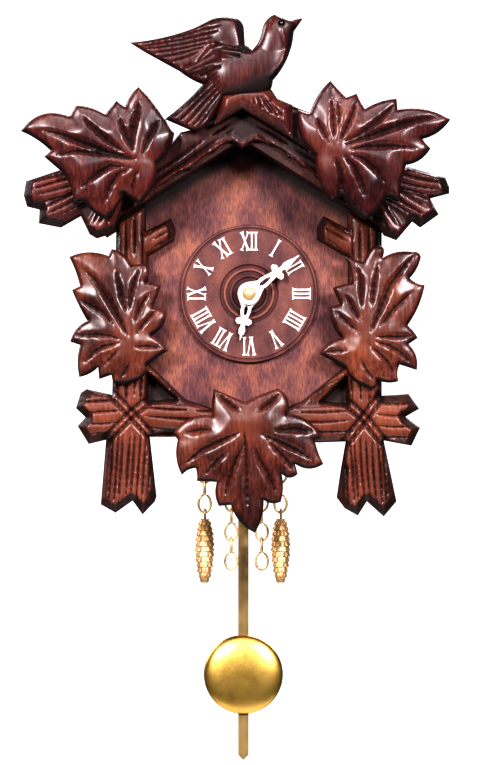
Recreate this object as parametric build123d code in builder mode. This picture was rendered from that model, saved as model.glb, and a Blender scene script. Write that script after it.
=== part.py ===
from build123d import *
import math
import os

# Miniature carved pendulum clock. Millimetres, +Z up, the front faces -Y and the wall is at Y = 0.
# The origin is the centre of the hanger hole, in the wall plane.
# "Stand-off" below means the distance in front of the wall, so a piece at stand-off s lies at Y = -s.

# ---- driving dimensions: case ----
wall_outer = 38.5
wall_thick = 3.5
house_floor = -76.0
board_thick = 3.5
board_back = 40.5
board_front = board_back + board_thick
wall_inner = wall_outer - wall_thick
floor_thick = 2.8
roof_mid = -2.0
roof_pitch = 32.0
roof_inner_peak = 9.3
roof_thick = 4.0
roof_reach = 41.0
roof_rear = 2.0
roof_front = 60.0
panel_back = 8.0
panel_front = 10.0
glue_gap = 0.02

# ---- driving dimensions: dial and hands ----
dial_z = -34.5
dial_r = 20.0
dial_thick = 1.6
numeral_r = 15.2
numeral_high = 5.4
numeral_stroke = 0.75
minute_angle = 52.8
hour_angle = 191.0
hand_thick = 0.7
hour_hand_at = 46.6
minute_hand_at = 48.0

# ---- driving dimensions: movement ----
back_plate_at = 23.4
front_plate_at = 39.5
plate_thick = 1.0
plate_left = -24.0
plate_right = 28.0
plate_top = -10.0
plate_bottom = -62.0
pivot_r = 0.5
pivot_hole_r = 0.53
arbor_r = 0.65
running = 0.05
train_module = 0.3
barrel_module = 0.4
hour_module = 0.288
barrel_teeth = 63
centre_pinion_teeth = 12
centre_teeth = 72
third_teeth = 60
fourth_teeth = 39
pinion_teeth = 8
cannon_teeth = 12
minute_teeth = 36
minute_pinion_teeth = 10
hour_teeth = 40
escape_teeth = 15
escape_r = 5.0
barrel_drum_r = 10.6
motion_hole_r = 13.5
lug_screw_r = 0.9
lug_screw_long = 3.8
wheel_thick = 0.8
pinion_long = 2.0
escape_thick = 0.6
spring_strip = 0.34
centre_arbor_r = 1.1
centre_pivot_r = 0.78
cannon_r = 1.3
hour_pipe_r = 2.0
motion_stud_r = 0.6
key_square_r = 1.3
winding_r = 1.85
winding_front_r = 1.0

# Stand-off of the rear face of each disc, from the wall side outwards
barrel_layer = 25.4
centre_pinion_layer = 25.0
escape_pinion_layer = 27.0
spring_layer = 27.0
fourth_wheel_layer = 27.6
fourth_pinion_layer = 30.0
third_wheel_layer = 30.6
anchor_layer = 33.1
escape_wheel_layer = 33.4
third_pinion_layer = 35.8
centre_wheel_layer = 36.4
cannon_layer = 40.8
hour_wheel_layer = 42.4

# Arbor centres as (x, z), each at its gear distance from the one before
centre_at = (0.0, dial_z)
barrel_distance = barrel_module * (barrel_teeth + centre_pinion_teeth) / 2
third_distance = train_module * (centre_teeth + pinion_teeth) / 2
fourth_distance = train_module * (third_teeth + pinion_teeth) / 2
escape_distance = train_module * (fourth_teeth + pinion_teeth) / 2
motion_distance = train_module * (cannon_teeth + minute_teeth) / 2
barrel_bearing = -40.0
third_bearing = 163.0
motion_bearing = 205.0
pendulum_x = -1.6
pendulum_z = -15.0
escape_drop = 7.0

# ---- driving dimensions: pendulum, chains, key ----
pendulum_plane = 16.5
rod_wide = 3.1
rod_thick = 1.0
rod_tip = -173.0
bob_z = -147.3
bob_r = 11.8
bob_half = 3.6
bob_rim = 0.6
hook_top = house_floor
key_turn_r = 8.0

os.makedirs("parts", exist_ok=True)


def polar(centre, radius, degrees):
    """Point at an angle counter-clockwise from +X about a centre."""
    angle = math.radians(degrees)
    return (centre[0] + radius * math.cos(angle), centre[1] + radius * math.sin(angle))


def reach_point(start, end, from_start, from_end):
    """Point on the left of start-end at the two given distances."""
    dx = end[0] - start[0]
    dz = end[1] - start[1]
    span = math.hypot(dx, dz)
    along = (from_start**2 - from_end**2 + span**2) / (2 * span)
    across = math.sqrt(from_start**2 - along**2)
    x = start[0] + (along * dx - across * dz) / span
    z = start[1] + (along * dz + across * dx) / span
    return (x, z)


barrel_at = polar(centre_at, barrel_distance, barrel_bearing)
third_at = polar(centre_at, third_distance, third_bearing)
verge_at = (pendulum_x, pendulum_z)
escape_at = (pendulum_x, pendulum_z - escape_drop)
fourth_at = reach_point(third_at, escape_at, fourth_distance, escape_distance)
motion_at = polar(centre_at, motion_distance, motion_bearing)
pillar_places = [(-21, -13.5), (25, -13.5), (-21, -58.5), (25, -58.5)]
lug_places = [(-12, -12.5), (16, -12.5), (-12, -59.5), (16, -59.5)]
tan_pitch = math.tan(math.radians(roof_pitch))
roof_lift = roof_thick / math.cos(math.radians(roof_pitch))


def front(stand_off):
    """Sketch plane parallel to the wall. Its extrusions grow away from the wall."""
    return Plane.XZ.offset(stand_off)


def roof_under(x):
    """Height of the roof's underside above a given x."""
    return roof_inner_peak - tan_pitch * abs(x - roof_mid)


def roof_top(x):
    """Height just above the roof's upper face at a given x."""
    return roof_under(x) + roof_lift + glue_gap


def carved_edge(corners, centre):
    """Closed outline of (x, z, bulge) corners about a centre, with an arc where the bulge is not small."""
    following = corners[1:] + corners[:1]
    for (x0, z0, bulge), (x1, z1, _) in zip(corners, following):
        start = (centre[0] + x0, centre[1] + z0)
        end = (centre[0] + x1, centre[1] + z1)
        if abs(bulge) < 0.15:
            Line(start, end)
        else:
            SagittaArc(start, end, bulge)


def write_part(part, name):
    """Label a finished piece and write its STEP file."""
    part.label = name
    export_step(part, f"parts/{name}.step")


# ---- carved outlines: (x, z, bulge) about each carving's centre ----
roof_leaf_left_edge = [
    (-33.2, 8.4, 2.7), (-19.4, 12.5, 0), (-17.7, 15.5, 0.6), (-9.3, 13.2, 0), (-6.2, 16.9, 0),
    (-3.7, 15.2, 0.6), (0.1, 20.8, 0.4), (7.0, 12.4, 0), (10.1, 7.9, 1.0), (5.4, -0.8, 1.3),
    (0.3, -12.4, 0), (-4.2, -9.3, 0.5), (-9.0, -16.6, 0.6), (-15.8, -11.3, 0), (-18.6, -12.4, -1.2),
    (-22.2, -2.7, 0), (-26.6, 1.1, 0), (-24.8, 2.8, -0.5),
]
roof_leaf_right_edge = [
    (-6.5, 9.9, 0.8), (-0.6, 19.2, 0), (3.8, 14.5, 0), (6.8, 15.5, -0.2), (9.3, 11.3, 0.6),
    (18.0, 14.1, 0), (18.3, 11.0, 1.5), (33.2, 8.2, 1.0), (25.2, 2.8, 0), (27.6, 0.0, 1.0),
    (20.8, -4.5, -0.4), (18.9, -14.6, 0), (15.5, -13.5, 0.7), (9.3, -20.0, 0.8), (2.7, -13.2, 0),
    (-0.3, -15.5, 1.2), (-4.8, -2.3, 1.9), (-9.9, 11.0, 0),
]
side_leaf_left_edge = [
    (-17.8, 23.3, 1.2), (-6.6, 23.6, 0), (-5.7, 25.6, 1.0), (0.0, 21.0, 0), (4.3, 21.3, 0.9),
    (4.2, 16.1, 0), (8.6, 15.2, 0), (6.3, 8.9, 0), (10.1, 7.5, 1.2), (6.0, 0.9, 0.4),
    (10.6, -3.7, -0.2), (4.6, -7.8, 1.1), (1.1, -12.4, 0.5), (-5.2, -12.9, 0), (-5.7, -10.6, 0),
    (-9.2, -11.8, 0), (-9.5, -8.3, 0.5), (-14.9, -11.2, 0.6), (-14.7, -2.0, 0), (-17.5, -1.1, 1.0),
    (-12.6, 4.9, 0.2), (-17.0, 13.8, 0), (-14.7, 14.9, -0.3),
]
side_leaf_right_edge = [
    (5.7, 23.0, 0.9), (14.4, 24.7, 0.6), (16.7, 23.3, 0.5), (13.5, 17.2, -0.4), (17.8, 15.2, 0.7),
    (12.9, 3.7, 0.2), (15.8, 0.0, 0), (13.2, -1.7, 1.0), (15.5, -9.2, 0), (10.6, -7.6, -0.5),
    (10.3, -12.4, 0.6), (4.3, -12.1, 1.8), (0.6, -13.8, 1.1), (-4.9, -8.6, 0), (-12.4, -4.6, 1.2),
    (-6.0, -0.1, 1.0), (-9.5, 8.9, 0), (-6.6, 9.8, 0), (-8.6, 14.4, 0.2), (-3.2, 15.8, -0.7),
    (-5.5, 23.6, 0), (0.0, 21.8, 0), (2.6, 26.2, 2.2),
]
bottom_leaf_edge = [
    (-8.6, 10.3, 0), (0.3, 6.6, 0.2), (9.8, 10.5, 1.6), (12.4, 3.2, 1.8), (22.4, -3.7, 0),
    (20.4, -4.3, -0.3), (22.9, -11.2, 1.4), (14.7, -11.2, 0), (15.5, -14.1, 1.1), (10.9, -14.1, 0.5),
    (10.6, -22.1, 0.7), (5.7, -21.6, 0.7), (3.2, -31.0, 1.2), (-3.7, -23.0, 0), (-7.2, -23.3, 0.7),
    (-7.8, -16.4, 0), (-13.5, -16.1, -0.2), (-13.8, -12.4, -0.5), (-17.8, -14.4, 1.0), (-19.0, -4.3, 0),
    (-20.3, -2.3, 2.0), (-9.2, 2.6, 0.3),
]
bird_edge = [
    (-32.2, 7.8, -0.7), (-13.8, 12.0, 0), (-9.0, 14.4, 0.6), (-1.7, 14.4, 0.5), (0.0, 11.3, 0),
    (0.3, 7.1, 0), (2.5, 5.9, -0.5), (5.1, 11.3, 0.8), (8.8, 15.8, 0), (13.3, 14.1, 0),
    (16.7, 14.7, 0), (14.1, 11.0, 1.3), (8.2, -2.8, 0.9), (5.1, -7.3, 0), (-5.6, -7.6, 0),
    (-7.9, -11.9, 0), (-10.2, -15.5, 0.5), (-15.2, -16.9, 0), (-22.3, -13.8, -0.4), (-11.6, -4.0, 0.3),
    (-18.1, -0.3, 0), (-22.3, 2.0, 0), (-27.9, 5.1, 0),
]
log_left_edge = [
    (-0.3, 8.6, 0), (-9.9, 5.4, 0), (-10.5, 1.4, 0), (-9.6, -1.7, 0), (-6.0, -2.6, 0), (-6.2, -6.5, 0),
    (0.0, -7.7, 0), (5.7, -4.4, 0), (8.2, -9.6, 0), (10.2, -10.8, 0), (14.7, -9.4, 0), (20.0, 4.0, 0),
]
log_right_edge = [
    (-3.1, 9.6, 0), (7.4, 6.5, 0), (8.5, 3.7, 0), (8.5, 2.0, 0), (3.1, 0.6, 0), (5.5, -4.0, 0),
    (0.3, -7.7, 0), (-2.0, -6.0, 0), (-6.5, -11.3, 0), (-10.2, -9.9, 0), (-16.0, 4.0, 0),
]
log_left_centre = (-53.6, -8.4)
log_right_centre = (48.4, -8.4)

# The surrounds: an upright batten with a short stub above, and a crossed branch below
surround_left_edge = [
    (-38.4, -14.0, 0), (-29.8, -8.6, 0), (-29.8, -16.4, 0), (-22.5, -12.6, 0), (-21.2, -16.0, 0), (-21.5, -19.0, 0),
    (-29.0, -23.5, 0), (-29.8, -54.0, 0), (-18.5, -65.0, 0), (-8.0, -68.5, 0), (-1.6, -69.0, 0),
    (-1.6, -74.5, 0), (-24.2, -74.5, 0), (-28.8, -75.6, 0), (-26.8, -93.2, 0), (-27.3, -94.7, 0),
    (-30.8, -98.4, 0), (-33.7, -94.4, 0), (-38.6, -97.9, 0), (-42.9, -95.5, 0), (-41.4, -76.8, 0),
    (-46.4, -78.0, 0), (-49.6, -72.8, 0), (-47.3, -70.3, 0), (-50.1, -67.6, 0), (-48.7, -63.2, 0),
    (-47.0, -62.1, 0), (-39.6, -63.8, 0),
]
surround_right_edge = [
    (37.8, -16.1, 0), (28.4, -10.3, 0), (28.4, -15.6, 0), (21.5, -12.0, 0), (19.6, -15.0, 0), (19.6, -18.8, 0),
    (28.6, -24.0, 0), (28.6, -55.0, 0), (15.5, -65.5, 0), (6.5, -69.0, 0), (-1.55, -69.0, 0),
    (-1.55, -74.5, 0), (19.9, -77.6, 0), (28.0, -77.3, 0), (26.6, -85.4, 0), (25.4, -93.5, 0),
    (27.7, -96.6, 0), (31.5, -98.7, 0), (34.1, -94.6, 0), (39.0, -99.0, 0), (42.7, -94.6, 0),
    (39.0, -77.0, 0), (47.0, -78.5, 0), (49.5, -73.3, 0), (45.3, -70.1, 0), (49.3, -67.8, 0),
    (46.2, -63.5, 0), (38.4, -64.0, 0),
]
trim_edge = [
    (-33.0, -1.8, 0), (-24.5, 5.0, 0), (-19.5, 11.0, 0), (-8.4, 13.7, 0), (-2.0, 17.6, 0), (32.0, -3.6, 0),
    (32.0, -10.0, 0), (25.0, -6.0, -0.6), (18.8, -1.8, -0.6), (14.4, 1.4, -0.5), (10.8, 4.0, -0.8),
    (5.5, 7.3, -0.5), (1.4, 8.4, 0), (-2.0, 6.2, 0), (-4.9, 8.4, -0.6), (-9.8, 5.4, -0.8),
    (-16.2, 0.6, -0.9), (-23.8, -3.4, -0.9), (-28.4, -8.2, 0), (-33.0, -10.6, 0),
]

# ---- wooden case ----
with BuildPart() as front_board:
    with BuildSketch(front(board_back)):
        with BuildLine():
            Polyline(
                (-wall_outer, house_floor), (wall_outer, house_floor), (wall_outer, roof_under(wall_outer)),
                (roof_mid, roof_inner_peak), (-wall_outer, roof_under(-wall_outer)), close=True,
            )
        make_face()
        with Locations(centre_at):
            Circle(motion_hole_r, mode=Mode.SUBTRACT)
    extrude(amount=board_thick)
    with BuildSketch(front(board_back)):
        with Locations(*lug_places):
            Circle(lug_screw_r + 0.05)
    extrude(amount=lug_screw_long - plate_thick + 0.1, mode=Mode.SUBTRACT)
write_part(front_board.part, "front_board")

for side_name, side in (("left_side_wall", -1), ("right_side_wall", 1)):
    with BuildPart() as side_wall:
        with BuildSketch(front(0)):
            with BuildLine():
                Polyline(
                    (side * wall_inner, house_floor), (side * wall_outer, house_floor),
                    (side * wall_outer, roof_under(side * wall_outer)),
                    (side * wall_inner, roof_under(side * wall_inner)), close=True,
                )
            make_face()
        extrude(amount=board_back)
    write_part(side_wall.part, side_name)

slot_wide = 22.0
slot_deep = 8.0
with BuildPart() as bottom_board:
    with BuildSketch(Plane.XY.offset(house_floor)):
        with Locations((0, -(panel_front + board_back) / 2)):
            Rectangle(2 * wall_inner, board_back - panel_front)
        with Locations((pendulum_x, -pendulum_plane)):
            SlotOverall(slot_wide, slot_deep, mode=Mode.SUBTRACT)
    extrude(amount=floor_thick)
write_part(bottom_board.part, "bottom_board")

for roof_name, side in (("roof_left", -1), ("roof_right", 1)):
    eave_x = roof_mid + side * roof_reach
    with BuildPart() as roof_board:
        with BuildSketch(front(roof_rear)):
            with BuildLine():
                Polyline(
                    (roof_mid, roof_inner_peak), (eave_x, roof_under(eave_x)),
                    (eave_x, roof_under(eave_x) + roof_lift), (roof_mid, roof_inner_peak + roof_lift),
                    close=True,
                )
            make_face()
        extrude(amount=roof_front - roof_rear)
    write_part(roof_board.part, roof_name)

batten_wide = 3.4
screw_places = [(-33.2, -26), (33.2, -26), (-33.2, -68), (33.2, -68)]
with BuildPart() as back_panel:
    with BuildSketch(front(panel_back)):
        with BuildLine():
            Polyline(
                (-wall_inner, house_floor), (wall_inner, house_floor), (wall_inner, roof_under(wall_inner)),
                (roof_mid, roof_inner_peak), (-wall_inner, roof_under(-wall_inner)), close=True,
            )
        make_face()
        with Locations(barrel_at):
            Circle(3.2, mode=Mode.SUBTRACT)
        with Locations(*screw_places):
            Circle(1.1, mode=Mode.SUBTRACT)
    extrude(amount=panel_front - panel_back)
write_part(back_panel.part, "back_panel")

with BuildPart() as panel_battens:
    for side in (-1, 1):
        with BuildSketch(front(panel_front)):
            with Locations((side * (wall_inner - batten_wide / 2), -47)):
                Rectangle(batten_wide, 52)
            with Locations(*[place for place in screw_places if place[0] * side > 0]):
                Circle(0.75, mode=Mode.SUBTRACT)
        extrude(amount=5)
write_part(panel_battens.part, "panel_battens")

hanger_hole_r = 2.75
hanger_thick = 1.2
hanger_screws = [(-8, 0), (8, 0)]
with BuildPart() as hanger_plate:
    with BuildSketch(front(0)):
        SlotOverall(22, 9)
        Circle(hanger_hole_r, mode=Mode.SUBTRACT)
        with Locations(*hanger_screws):
            Circle(1.1, mode=Mode.SUBTRACT)
    extrude(amount=hanger_thick)
    with BuildSketch(front(0)):
        with Locations(*hanger_screws):
            Circle(1.75, mode=Mode.ADD)
    extrude(amount=0.7, mode=Mode.SUBTRACT)
write_part(hanger_plate.part, "hanger_plate")

with BuildPart() as hanger_block:
    with BuildSketch(front(hanger_thick)):
        with BuildLine():
            Polyline(
                (-17, -7), (13, -7), (13, roof_under(13)), (roof_mid, roof_inner_peak), (-17, roof_under(-17)),
                close=True,
            )
        make_face()
        with Locations(*hanger_screws):
            Circle(0.75, mode=Mode.SUBTRACT)
    extrude(amount=panel_back - hanger_thick)
    with BuildSketch(front(hanger_thick)):
        Circle(4.0)
    extrude(amount=5.4, mode=Mode.SUBTRACT)
write_part(hanger_block.part, "hanger_block")


def screw(head_at, head_r, head_high, shank_r, length, place):
    """Pan-head screw pointing away from the wall: head against the plane head_at, shank in front of it."""
    with BuildPart() as one_screw:
        with BuildSketch(front(head_at - head_high)):
            with Locations(place):
                Circle(head_r)
        extrude(amount=head_high)
        with BuildSketch(front(head_at)):
            with Locations(place):
                Circle(shank_r)
        extrude(amount=length)
        with BuildSketch(front(head_at - head_high)):
            with Locations(place):
                Rectangle(2 * head_r, 0.4)
        extrude(amount=head_high / 2, mode=Mode.SUBTRACT)
    return one_screw.part


def reversed_screw(head_at, head_r, head_high, shank_r, length, place):
    """Cheese-head screw pointing towards the wall: head in front of the plane head_at."""
    with BuildPart() as one_screw:
        with BuildSketch(front(head_at)):
            with Locations(place):
                Circle(head_r)
        extrude(amount=head_high)
        with BuildSketch(front(head_at - length)):
            with Locations(place):
                Circle(shank_r)
        extrude(amount=length)
        with BuildSketch(front(head_at + head_high / 2)):
            with Locations(place):
                Rectangle(2 * head_r, 0.4)
        extrude(amount=head_high / 2, mode=Mode.SUBTRACT)
    return one_screw.part


with BuildPart() as case_screws:
    for place in screw_places:
        add(screw(panel_back, 1.7, 1.0, 0.72, 6.0, place))
    for place in hanger_screws:
        add(screw(0.65, 1.7, 0.6, 0.72, 5.5, place))
write_part(case_screws.part, "case_screws")


# ---- carvings on the case ----
def carving(corners, centre, back, thick):
    """Plain blank of a carving: its outline, thick from the stand-off back."""
    with BuildPart() as blank:
        with BuildSketch(front(back)):
            with BuildLine():
                carved_edge(corners, centre)
            make_face()
        extrude(amount=thick)
    return blank.part


trim_thick = 3.0
blanks = {
    "gable_trim": (trim_edge, (0, 0), roof_front, trim_thick),
    "surround_left": (surround_left_edge, (0, 0), board_front, 6.0),
    "surround_right": (surround_right_edge, (0, 0), board_front, 6.0),
    "side_leaf_left": (side_leaf_left_edge, (-33.9, -47.4), board_front + 6.0, 5.0),
    "side_leaf_right": (side_leaf_right_edge, (32.7, -47.4), board_front + 6.0, 5.0),
    "bottom_leaf": (bottom_leaf_edge, (-1.5, -72.4), board_front + 6.0, 5.5),
    "roof_log_left": (log_left_edge, log_left_centre, roof_front, 5.0),
    "roof_log_right": (log_right_edge, log_right_centre, roof_front, 5.0),
    "roof_leaf_left": (roof_leaf_left_edge, (-31.3, 2.5), roof_front + 5.0, 7.0),
    "roof_leaf_right": (roof_leaf_right_edge, (23.6, 5.9), roof_front + 5.0, 7.0),
    "bird": (bird_edge, (-1.5, 28.0), roof_front + 3.0, 9.0),
}
for blank_name, (corners, centre, back, thick) in blanks.items():
    write_part(carving(corners, centre, back, thick), blank_name)

crest_back = 50.0
crest_front = roof_front + 10.0
mound_back = roof_front + 4.5
with BuildPart() as crest_rail:
    with BuildSketch(front(crest_back)):
        with BuildLine():
            Polyline(
                (-10.0, roof_top(-10.0)), (roof_mid, roof_top(roof_mid)), (8.0, roof_top(8.0)), (8.0, 16.5),
                (-10.0, 16.5), close=True,
            )
        make_face()
    extrude(amount=roof_front - crest_back)
    with BuildSketch(front(roof_front)):
        with BuildLine():
            Polyline(
                (-8.4, 13.75), (-6.9, 20.3), (3.4, 20.3), (8.0, 20.0), (17.3, 16.3), (17.3, 5.65), (-2.0, 17.65),
                close=True,
            )
        make_face()
    extrude(amount=mound_back - roof_front)
    with BuildSketch(front(mound_back)):
        with BuildLine():
            Polyline(
                (-6.9, 14.75), (-6.9, 20.3), (3.4, 20.3), (8.0, 20.0), (12.2, 18.2), (12.2, 8.85), (-2.0, 17.65),
                close=True,
            )
        make_face()
    extrude(amount=crest_front - mound_back)
write_part(crest_rail.part, "crest_rail")

# ---- dial ----
ring_radii = [(8.3, 7.4), (6.0, 5.2)]
with BuildPart() as dial:
    with BuildSketch(front(board_front)):
        with Locations(centre_at):
            Circle(dial_r)
            Circle(2.3, mode=Mode.SUBTRACT)
    extrude(amount=dial_thick)
    for outer, inner in ring_radii:
        with BuildSketch(front(board_front + dial_thick - 0.3)):
            with Locations(centre_at):
                Circle(outer)
                Circle(inner, mode=Mode.SUBTRACT)
        extrude(amount=0.3, mode=Mode.SUBTRACT)
    with BuildSketch(front(board_front + dial_thick - 0.25)):
        with Locations(centre_at):
            Circle(dial_r - 0.9)
            Circle(dial_r - 1.2, mode=Mode.SUBTRACT)
    extrude(amount=0.25, mode=Mode.SUBTRACT)
write_part(dial.part, "dial")

numerals = ["XII", "I", "II", "III", "IIII", "V", "VI", "VII", "VIII", "IX", "X", "XI"]
numeral_raise = 0.25


def numeral_sketch(text):
    """Strokes of one Roman numeral, upright about the origin, with serif bars joining each letter."""
    widths = {"I": 1.15, "V": 2.9, "X": 2.9}
    lean = 1.05
    with BuildSketch() as strokes:
        cursor = -sum(widths[letter] for letter in text) / 2
        for letter in text:
            middle = cursor + widths[letter] / 2
            if letter == "I":
                with Locations((middle, 0)):
                    Rectangle(numeral_stroke, numeral_high)
            if letter == "V":
                for side, wide in ((-1, numeral_stroke), (1, numeral_stroke * 0.6)):
                    with BuildLine():
                        Polyline(
                            (middle + side * lean - wide / 2, numeral_high / 2),
                            (middle + side * lean + wide / 2, numeral_high / 2),
                            (middle + wide / 2, -numeral_high / 2), (middle - wide / 2, -numeral_high / 2),
                            close=True,
                        )
                    make_face()
            if letter == "X":
                for side, wide in ((-1, numeral_stroke), (1, numeral_stroke * 0.6)):
                    with BuildLine():
                        Polyline(
                            (middle + side * lean - wide / 2, numeral_high / 2),
                            (middle + side * lean + wide / 2, numeral_high / 2),
                            (middle - side * lean + wide / 2, -numeral_high / 2),
                            (middle - side * lean - wide / 2, -numeral_high / 2), close=True,
                        )
                    make_face()
            cursor += widths[letter]
    return strokes.sketch


with BuildPart() as dial_numerals:
    for hour, text in enumerate(numerals):
        turn = -30 * hour
        spot = polar(centre_at, numeral_r, 90 + turn)
        plane = Plane(
            origin=(spot[0], -(board_front + dial_thick), spot[1]),
            x_dir=(math.cos(math.radians(turn)), 0, math.sin(math.radians(turn))), z_dir=(0, -1, 0),
        )
        with BuildSketch(plane):
            add(numeral_sketch(text))
        extrude(amount=numeral_raise)
write_part(dial_numerals.part, "dial_numerals")


# ---- hands ----
def hand_plane(stand_off, clockwise):
    """Sketch plane at the dial centre whose +Y points along a hand turned clockwise from XII."""
    angle = math.radians(clockwise)
    x_dir = (math.cos(angle), 0, -math.sin(angle))
    return Plane(origin=(centre_at[0], -stand_off, centre_at[1]), x_dir=x_dir, z_dir=(0, -1, 0))


def carved_hand(stand_off, clockwise, bore_r, boss_r, window, cross, pointer):
    """Carved hand: a boss, two legs round a window, a cross piece and a tapering pointer."""
    window_end, leg_out = window
    cross_at, cross_half = cross
    point_from, point_half, point_end = pointer
    with BuildPart() as one_hand:
        with BuildSketch(hand_plane(stand_off, clockwise)):
            Circle(boss_r)
            with BuildLine():
                Polyline((-1.2, 0), (-leg_out, window_end), (leg_out, window_end), (1.2, 0), close=True)
            make_face()
            with BuildLine():
                Polyline(
                    (-cross_half, cross_at - 0.2), (-cross_half * 0.75, cross_at + 1.2), (0, cross_at + 0.5),
                    (cross_half * 0.75, cross_at + 1.2), (cross_half, cross_at - 0.2),
                    (0, cross_at - 1.1), close=True,
                )
            make_face()
            with BuildLine():
                Polyline(
                    (-1.0, window_end - 0.5), (-point_half, point_from), (-0.5, point_end - 0.9), (0, point_end),
                    (0.5, point_end - 0.9), (point_half, point_from), (1.0, window_end - 0.5), close=True,
                )
            make_face()
            with Locations((0, (boss_r + window_end) / 2 + 0.3)):
                SlotOverall(window_end - boss_r - 1.0, 0.9, rotation=90, mode=Mode.SUBTRACT)
            Circle(bore_r, mode=Mode.SUBTRACT)
        extrude(amount=hand_thick)
    return one_hand.part


minute_hand = carved_hand(minute_hand_at, minute_angle, 1.32, 3.3, (8.4, 1.5), (10.4, 2.5), (12.6, 1.0, 18.3))
write_part(minute_hand, "minute_hand")
hour_hand = carved_hand(hour_hand_at, hour_angle, 2.02, 3.4, (7.4, 1.8), (8.1, 2.4), (10.0, 1.0, 13.8))
write_part(hour_hand, "hour_hand")

with BuildPart() as hand_nut:
    with BuildSketch(front(minute_hand_at + hand_thick + 0.02)):
        with Locations(centre_at):
            Circle(1.9)
    extrude(amount=1.4)
    fillet(hand_nut.faces().sort_by(Axis.Y)[0].edges(), radius=0.9)
    with BuildSketch(front(minute_hand_at + hand_thick + 0.02)):
        with Locations(centre_at):
            Circle(0.82)
    extrude(amount=1.0, mode=Mode.SUBTRACT)
write_part(hand_nut.part, "hand_nut")


# ---- gears ----
def tooth_points(teeth, module, centre, phase):
    """Corners of a gear's outline: six to each tooth, thinner than half the pitch to leave backlash."""
    pitch_r = module * teeth / 2
    corners = []
    steps = ((-1.15, -0.29), (0.0, -0.205), (0.85, -0.08), (0.85, 0.08), (0.0, 0.205), (-1.15, 0.29))
    for tooth in range(teeth):
        for rise, share in steps:
            turn = phase + 360.0 / teeth * (tooth + share)
            corners.append(polar(centre, pitch_r + rise * module, turn))
    return corners


def mesh_phase(phase, teeth, centre, mate_teeth, mate_centre):
    """Phase of a mating gear, so that its gap faces the first gear's tooth on the line of centres."""
    pitch = 360.0 / teeth
    bearing = math.degrees(math.atan2(mate_centre[1] - centre[1], mate_centre[0] - centre[0]))
    offset = (phase - bearing + pitch / 2) % pitch - pitch / 2
    return bearing + 180.0 - offset * teeth / mate_teeth + 180.0 / mate_teeth


def toothed_disc(teeth, module, centre, phase, at, thick, bore_r=0.0):
    """Solid gear of the given thickness, standing forward from the stand-off at."""
    with BuildPart() as disc:
        with BuildSketch(front(at)):
            with BuildLine():
                Polyline(*tooth_points(teeth, module, centre, phase), close=True)
            make_face()
            if bore_r:
                with Locations(centre):
                    Circle(bore_r, mode=Mode.SUBTRACT)
        extrude(amount=thick)
    return disc.part


def cut_crossings(centre, hub_r, rim_r, at, thick, spokes=4):
    """Windows between a wheel's spokes."""
    with BuildPart() as windows:
        with BuildSketch(front(at)):
            with Locations(centre):
                Circle(rim_r)
                Circle(hub_r, mode=Mode.SUBTRACT)
                with PolarLocations(0, spokes):
                    Rectangle(2.2 * rim_r, 1.1, mode=Mode.SUBTRACT)
        extrude(amount=thick)
    return windows.part


def shaft(centre, sections):
    """Turned arbor from a list of (from, to, radius) stand-offs."""
    with BuildPart() as turned:
        for start, end, radius in sections:
            with BuildSketch(front(start)):
                with Locations(centre):
                    Circle(radius)
            extrude(amount=end - start)
    return turned.part


plate_rear_inner = back_plate_at + plate_thick
plate_front_outer = front_plate_at + plate_thick
centre_phase = 0.0
third_phase = mesh_phase(centre_phase, centre_teeth, centre_at, pinion_teeth, third_at)
fourth_phase = mesh_phase(0.0, third_teeth, third_at, pinion_teeth, fourth_at)
escape_phase = mesh_phase(0.0, fourth_teeth, fourth_at, pinion_teeth, escape_at)
barrel_phase = mesh_phase(0.0, centre_pinion_teeth, centre_at, barrel_teeth, barrel_at)
minute_phase = mesh_phase(0.0, cannon_teeth, centre_at, minute_teeth, motion_at)
hour_phase = mesh_phase(0.0, minute_pinion_teeth, motion_at, hour_teeth, centre_at)


def plain_pivots(centre):
    """Arbor between the plates with a fine pivot at each end."""
    return shaft(centre, [
        (back_plate_at + 0.1, plate_rear_inner + 0.2, pivot_r),
        (plate_rear_inner + 0.2, front_plate_at - 0.2, arbor_r),
        (front_plate_at - 0.2, plate_front_outer - 0.1, pivot_r),
    ])


with BuildPart() as centre_wheel:
    add(toothed_disc(centre_teeth, train_module, centre_at, centre_phase, centre_wheel_layer, wheel_thick))
    add(cut_crossings(centre_at, 2.4, 8.9, centre_wheel_layer, wheel_thick), mode=Mode.SUBTRACT)
    add(toothed_disc(centre_pinion_teeth, barrel_module, centre_at, 0.0, centre_pinion_layer, pinion_long))
    add(shaft(centre_at, [
        (back_plate_at + 0.1, plate_rear_inner + 0.2, pivot_r),
        (plate_rear_inner + 0.2, front_plate_at - 0.2, centre_arbor_r),
        (front_plate_at - 0.2, minute_hand_at + hand_thick + 0.9, centre_pivot_r),
    ]))
write_part(centre_wheel.part, "centre_wheel")

with BuildPart() as third_wheel:
    add(toothed_disc(third_teeth, train_module, third_at, 0.0, third_wheel_layer, wheel_thick))
    add(cut_crossings(third_at, 2.0, 7.4, third_wheel_layer, wheel_thick), mode=Mode.SUBTRACT)
    add(toothed_disc(pinion_teeth, train_module, third_at, third_phase, third_pinion_layer, pinion_long))
    add(plain_pivots(third_at))
write_part(third_wheel.part, "third_wheel")

with BuildPart() as fourth_wheel:
    add(toothed_disc(fourth_teeth, train_module, fourth_at, 0.0, fourth_wheel_layer, wheel_thick))
    add(cut_crossings(fourth_at, 1.6, 4.5, fourth_wheel_layer, wheel_thick), mode=Mode.SUBTRACT)
    add(toothed_disc(pinion_teeth, train_module, fourth_at, fourth_phase, fourth_pinion_layer, pinion_long))
    add(plain_pivots(fourth_at))
write_part(fourth_wheel.part, "fourth_wheel")

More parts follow.
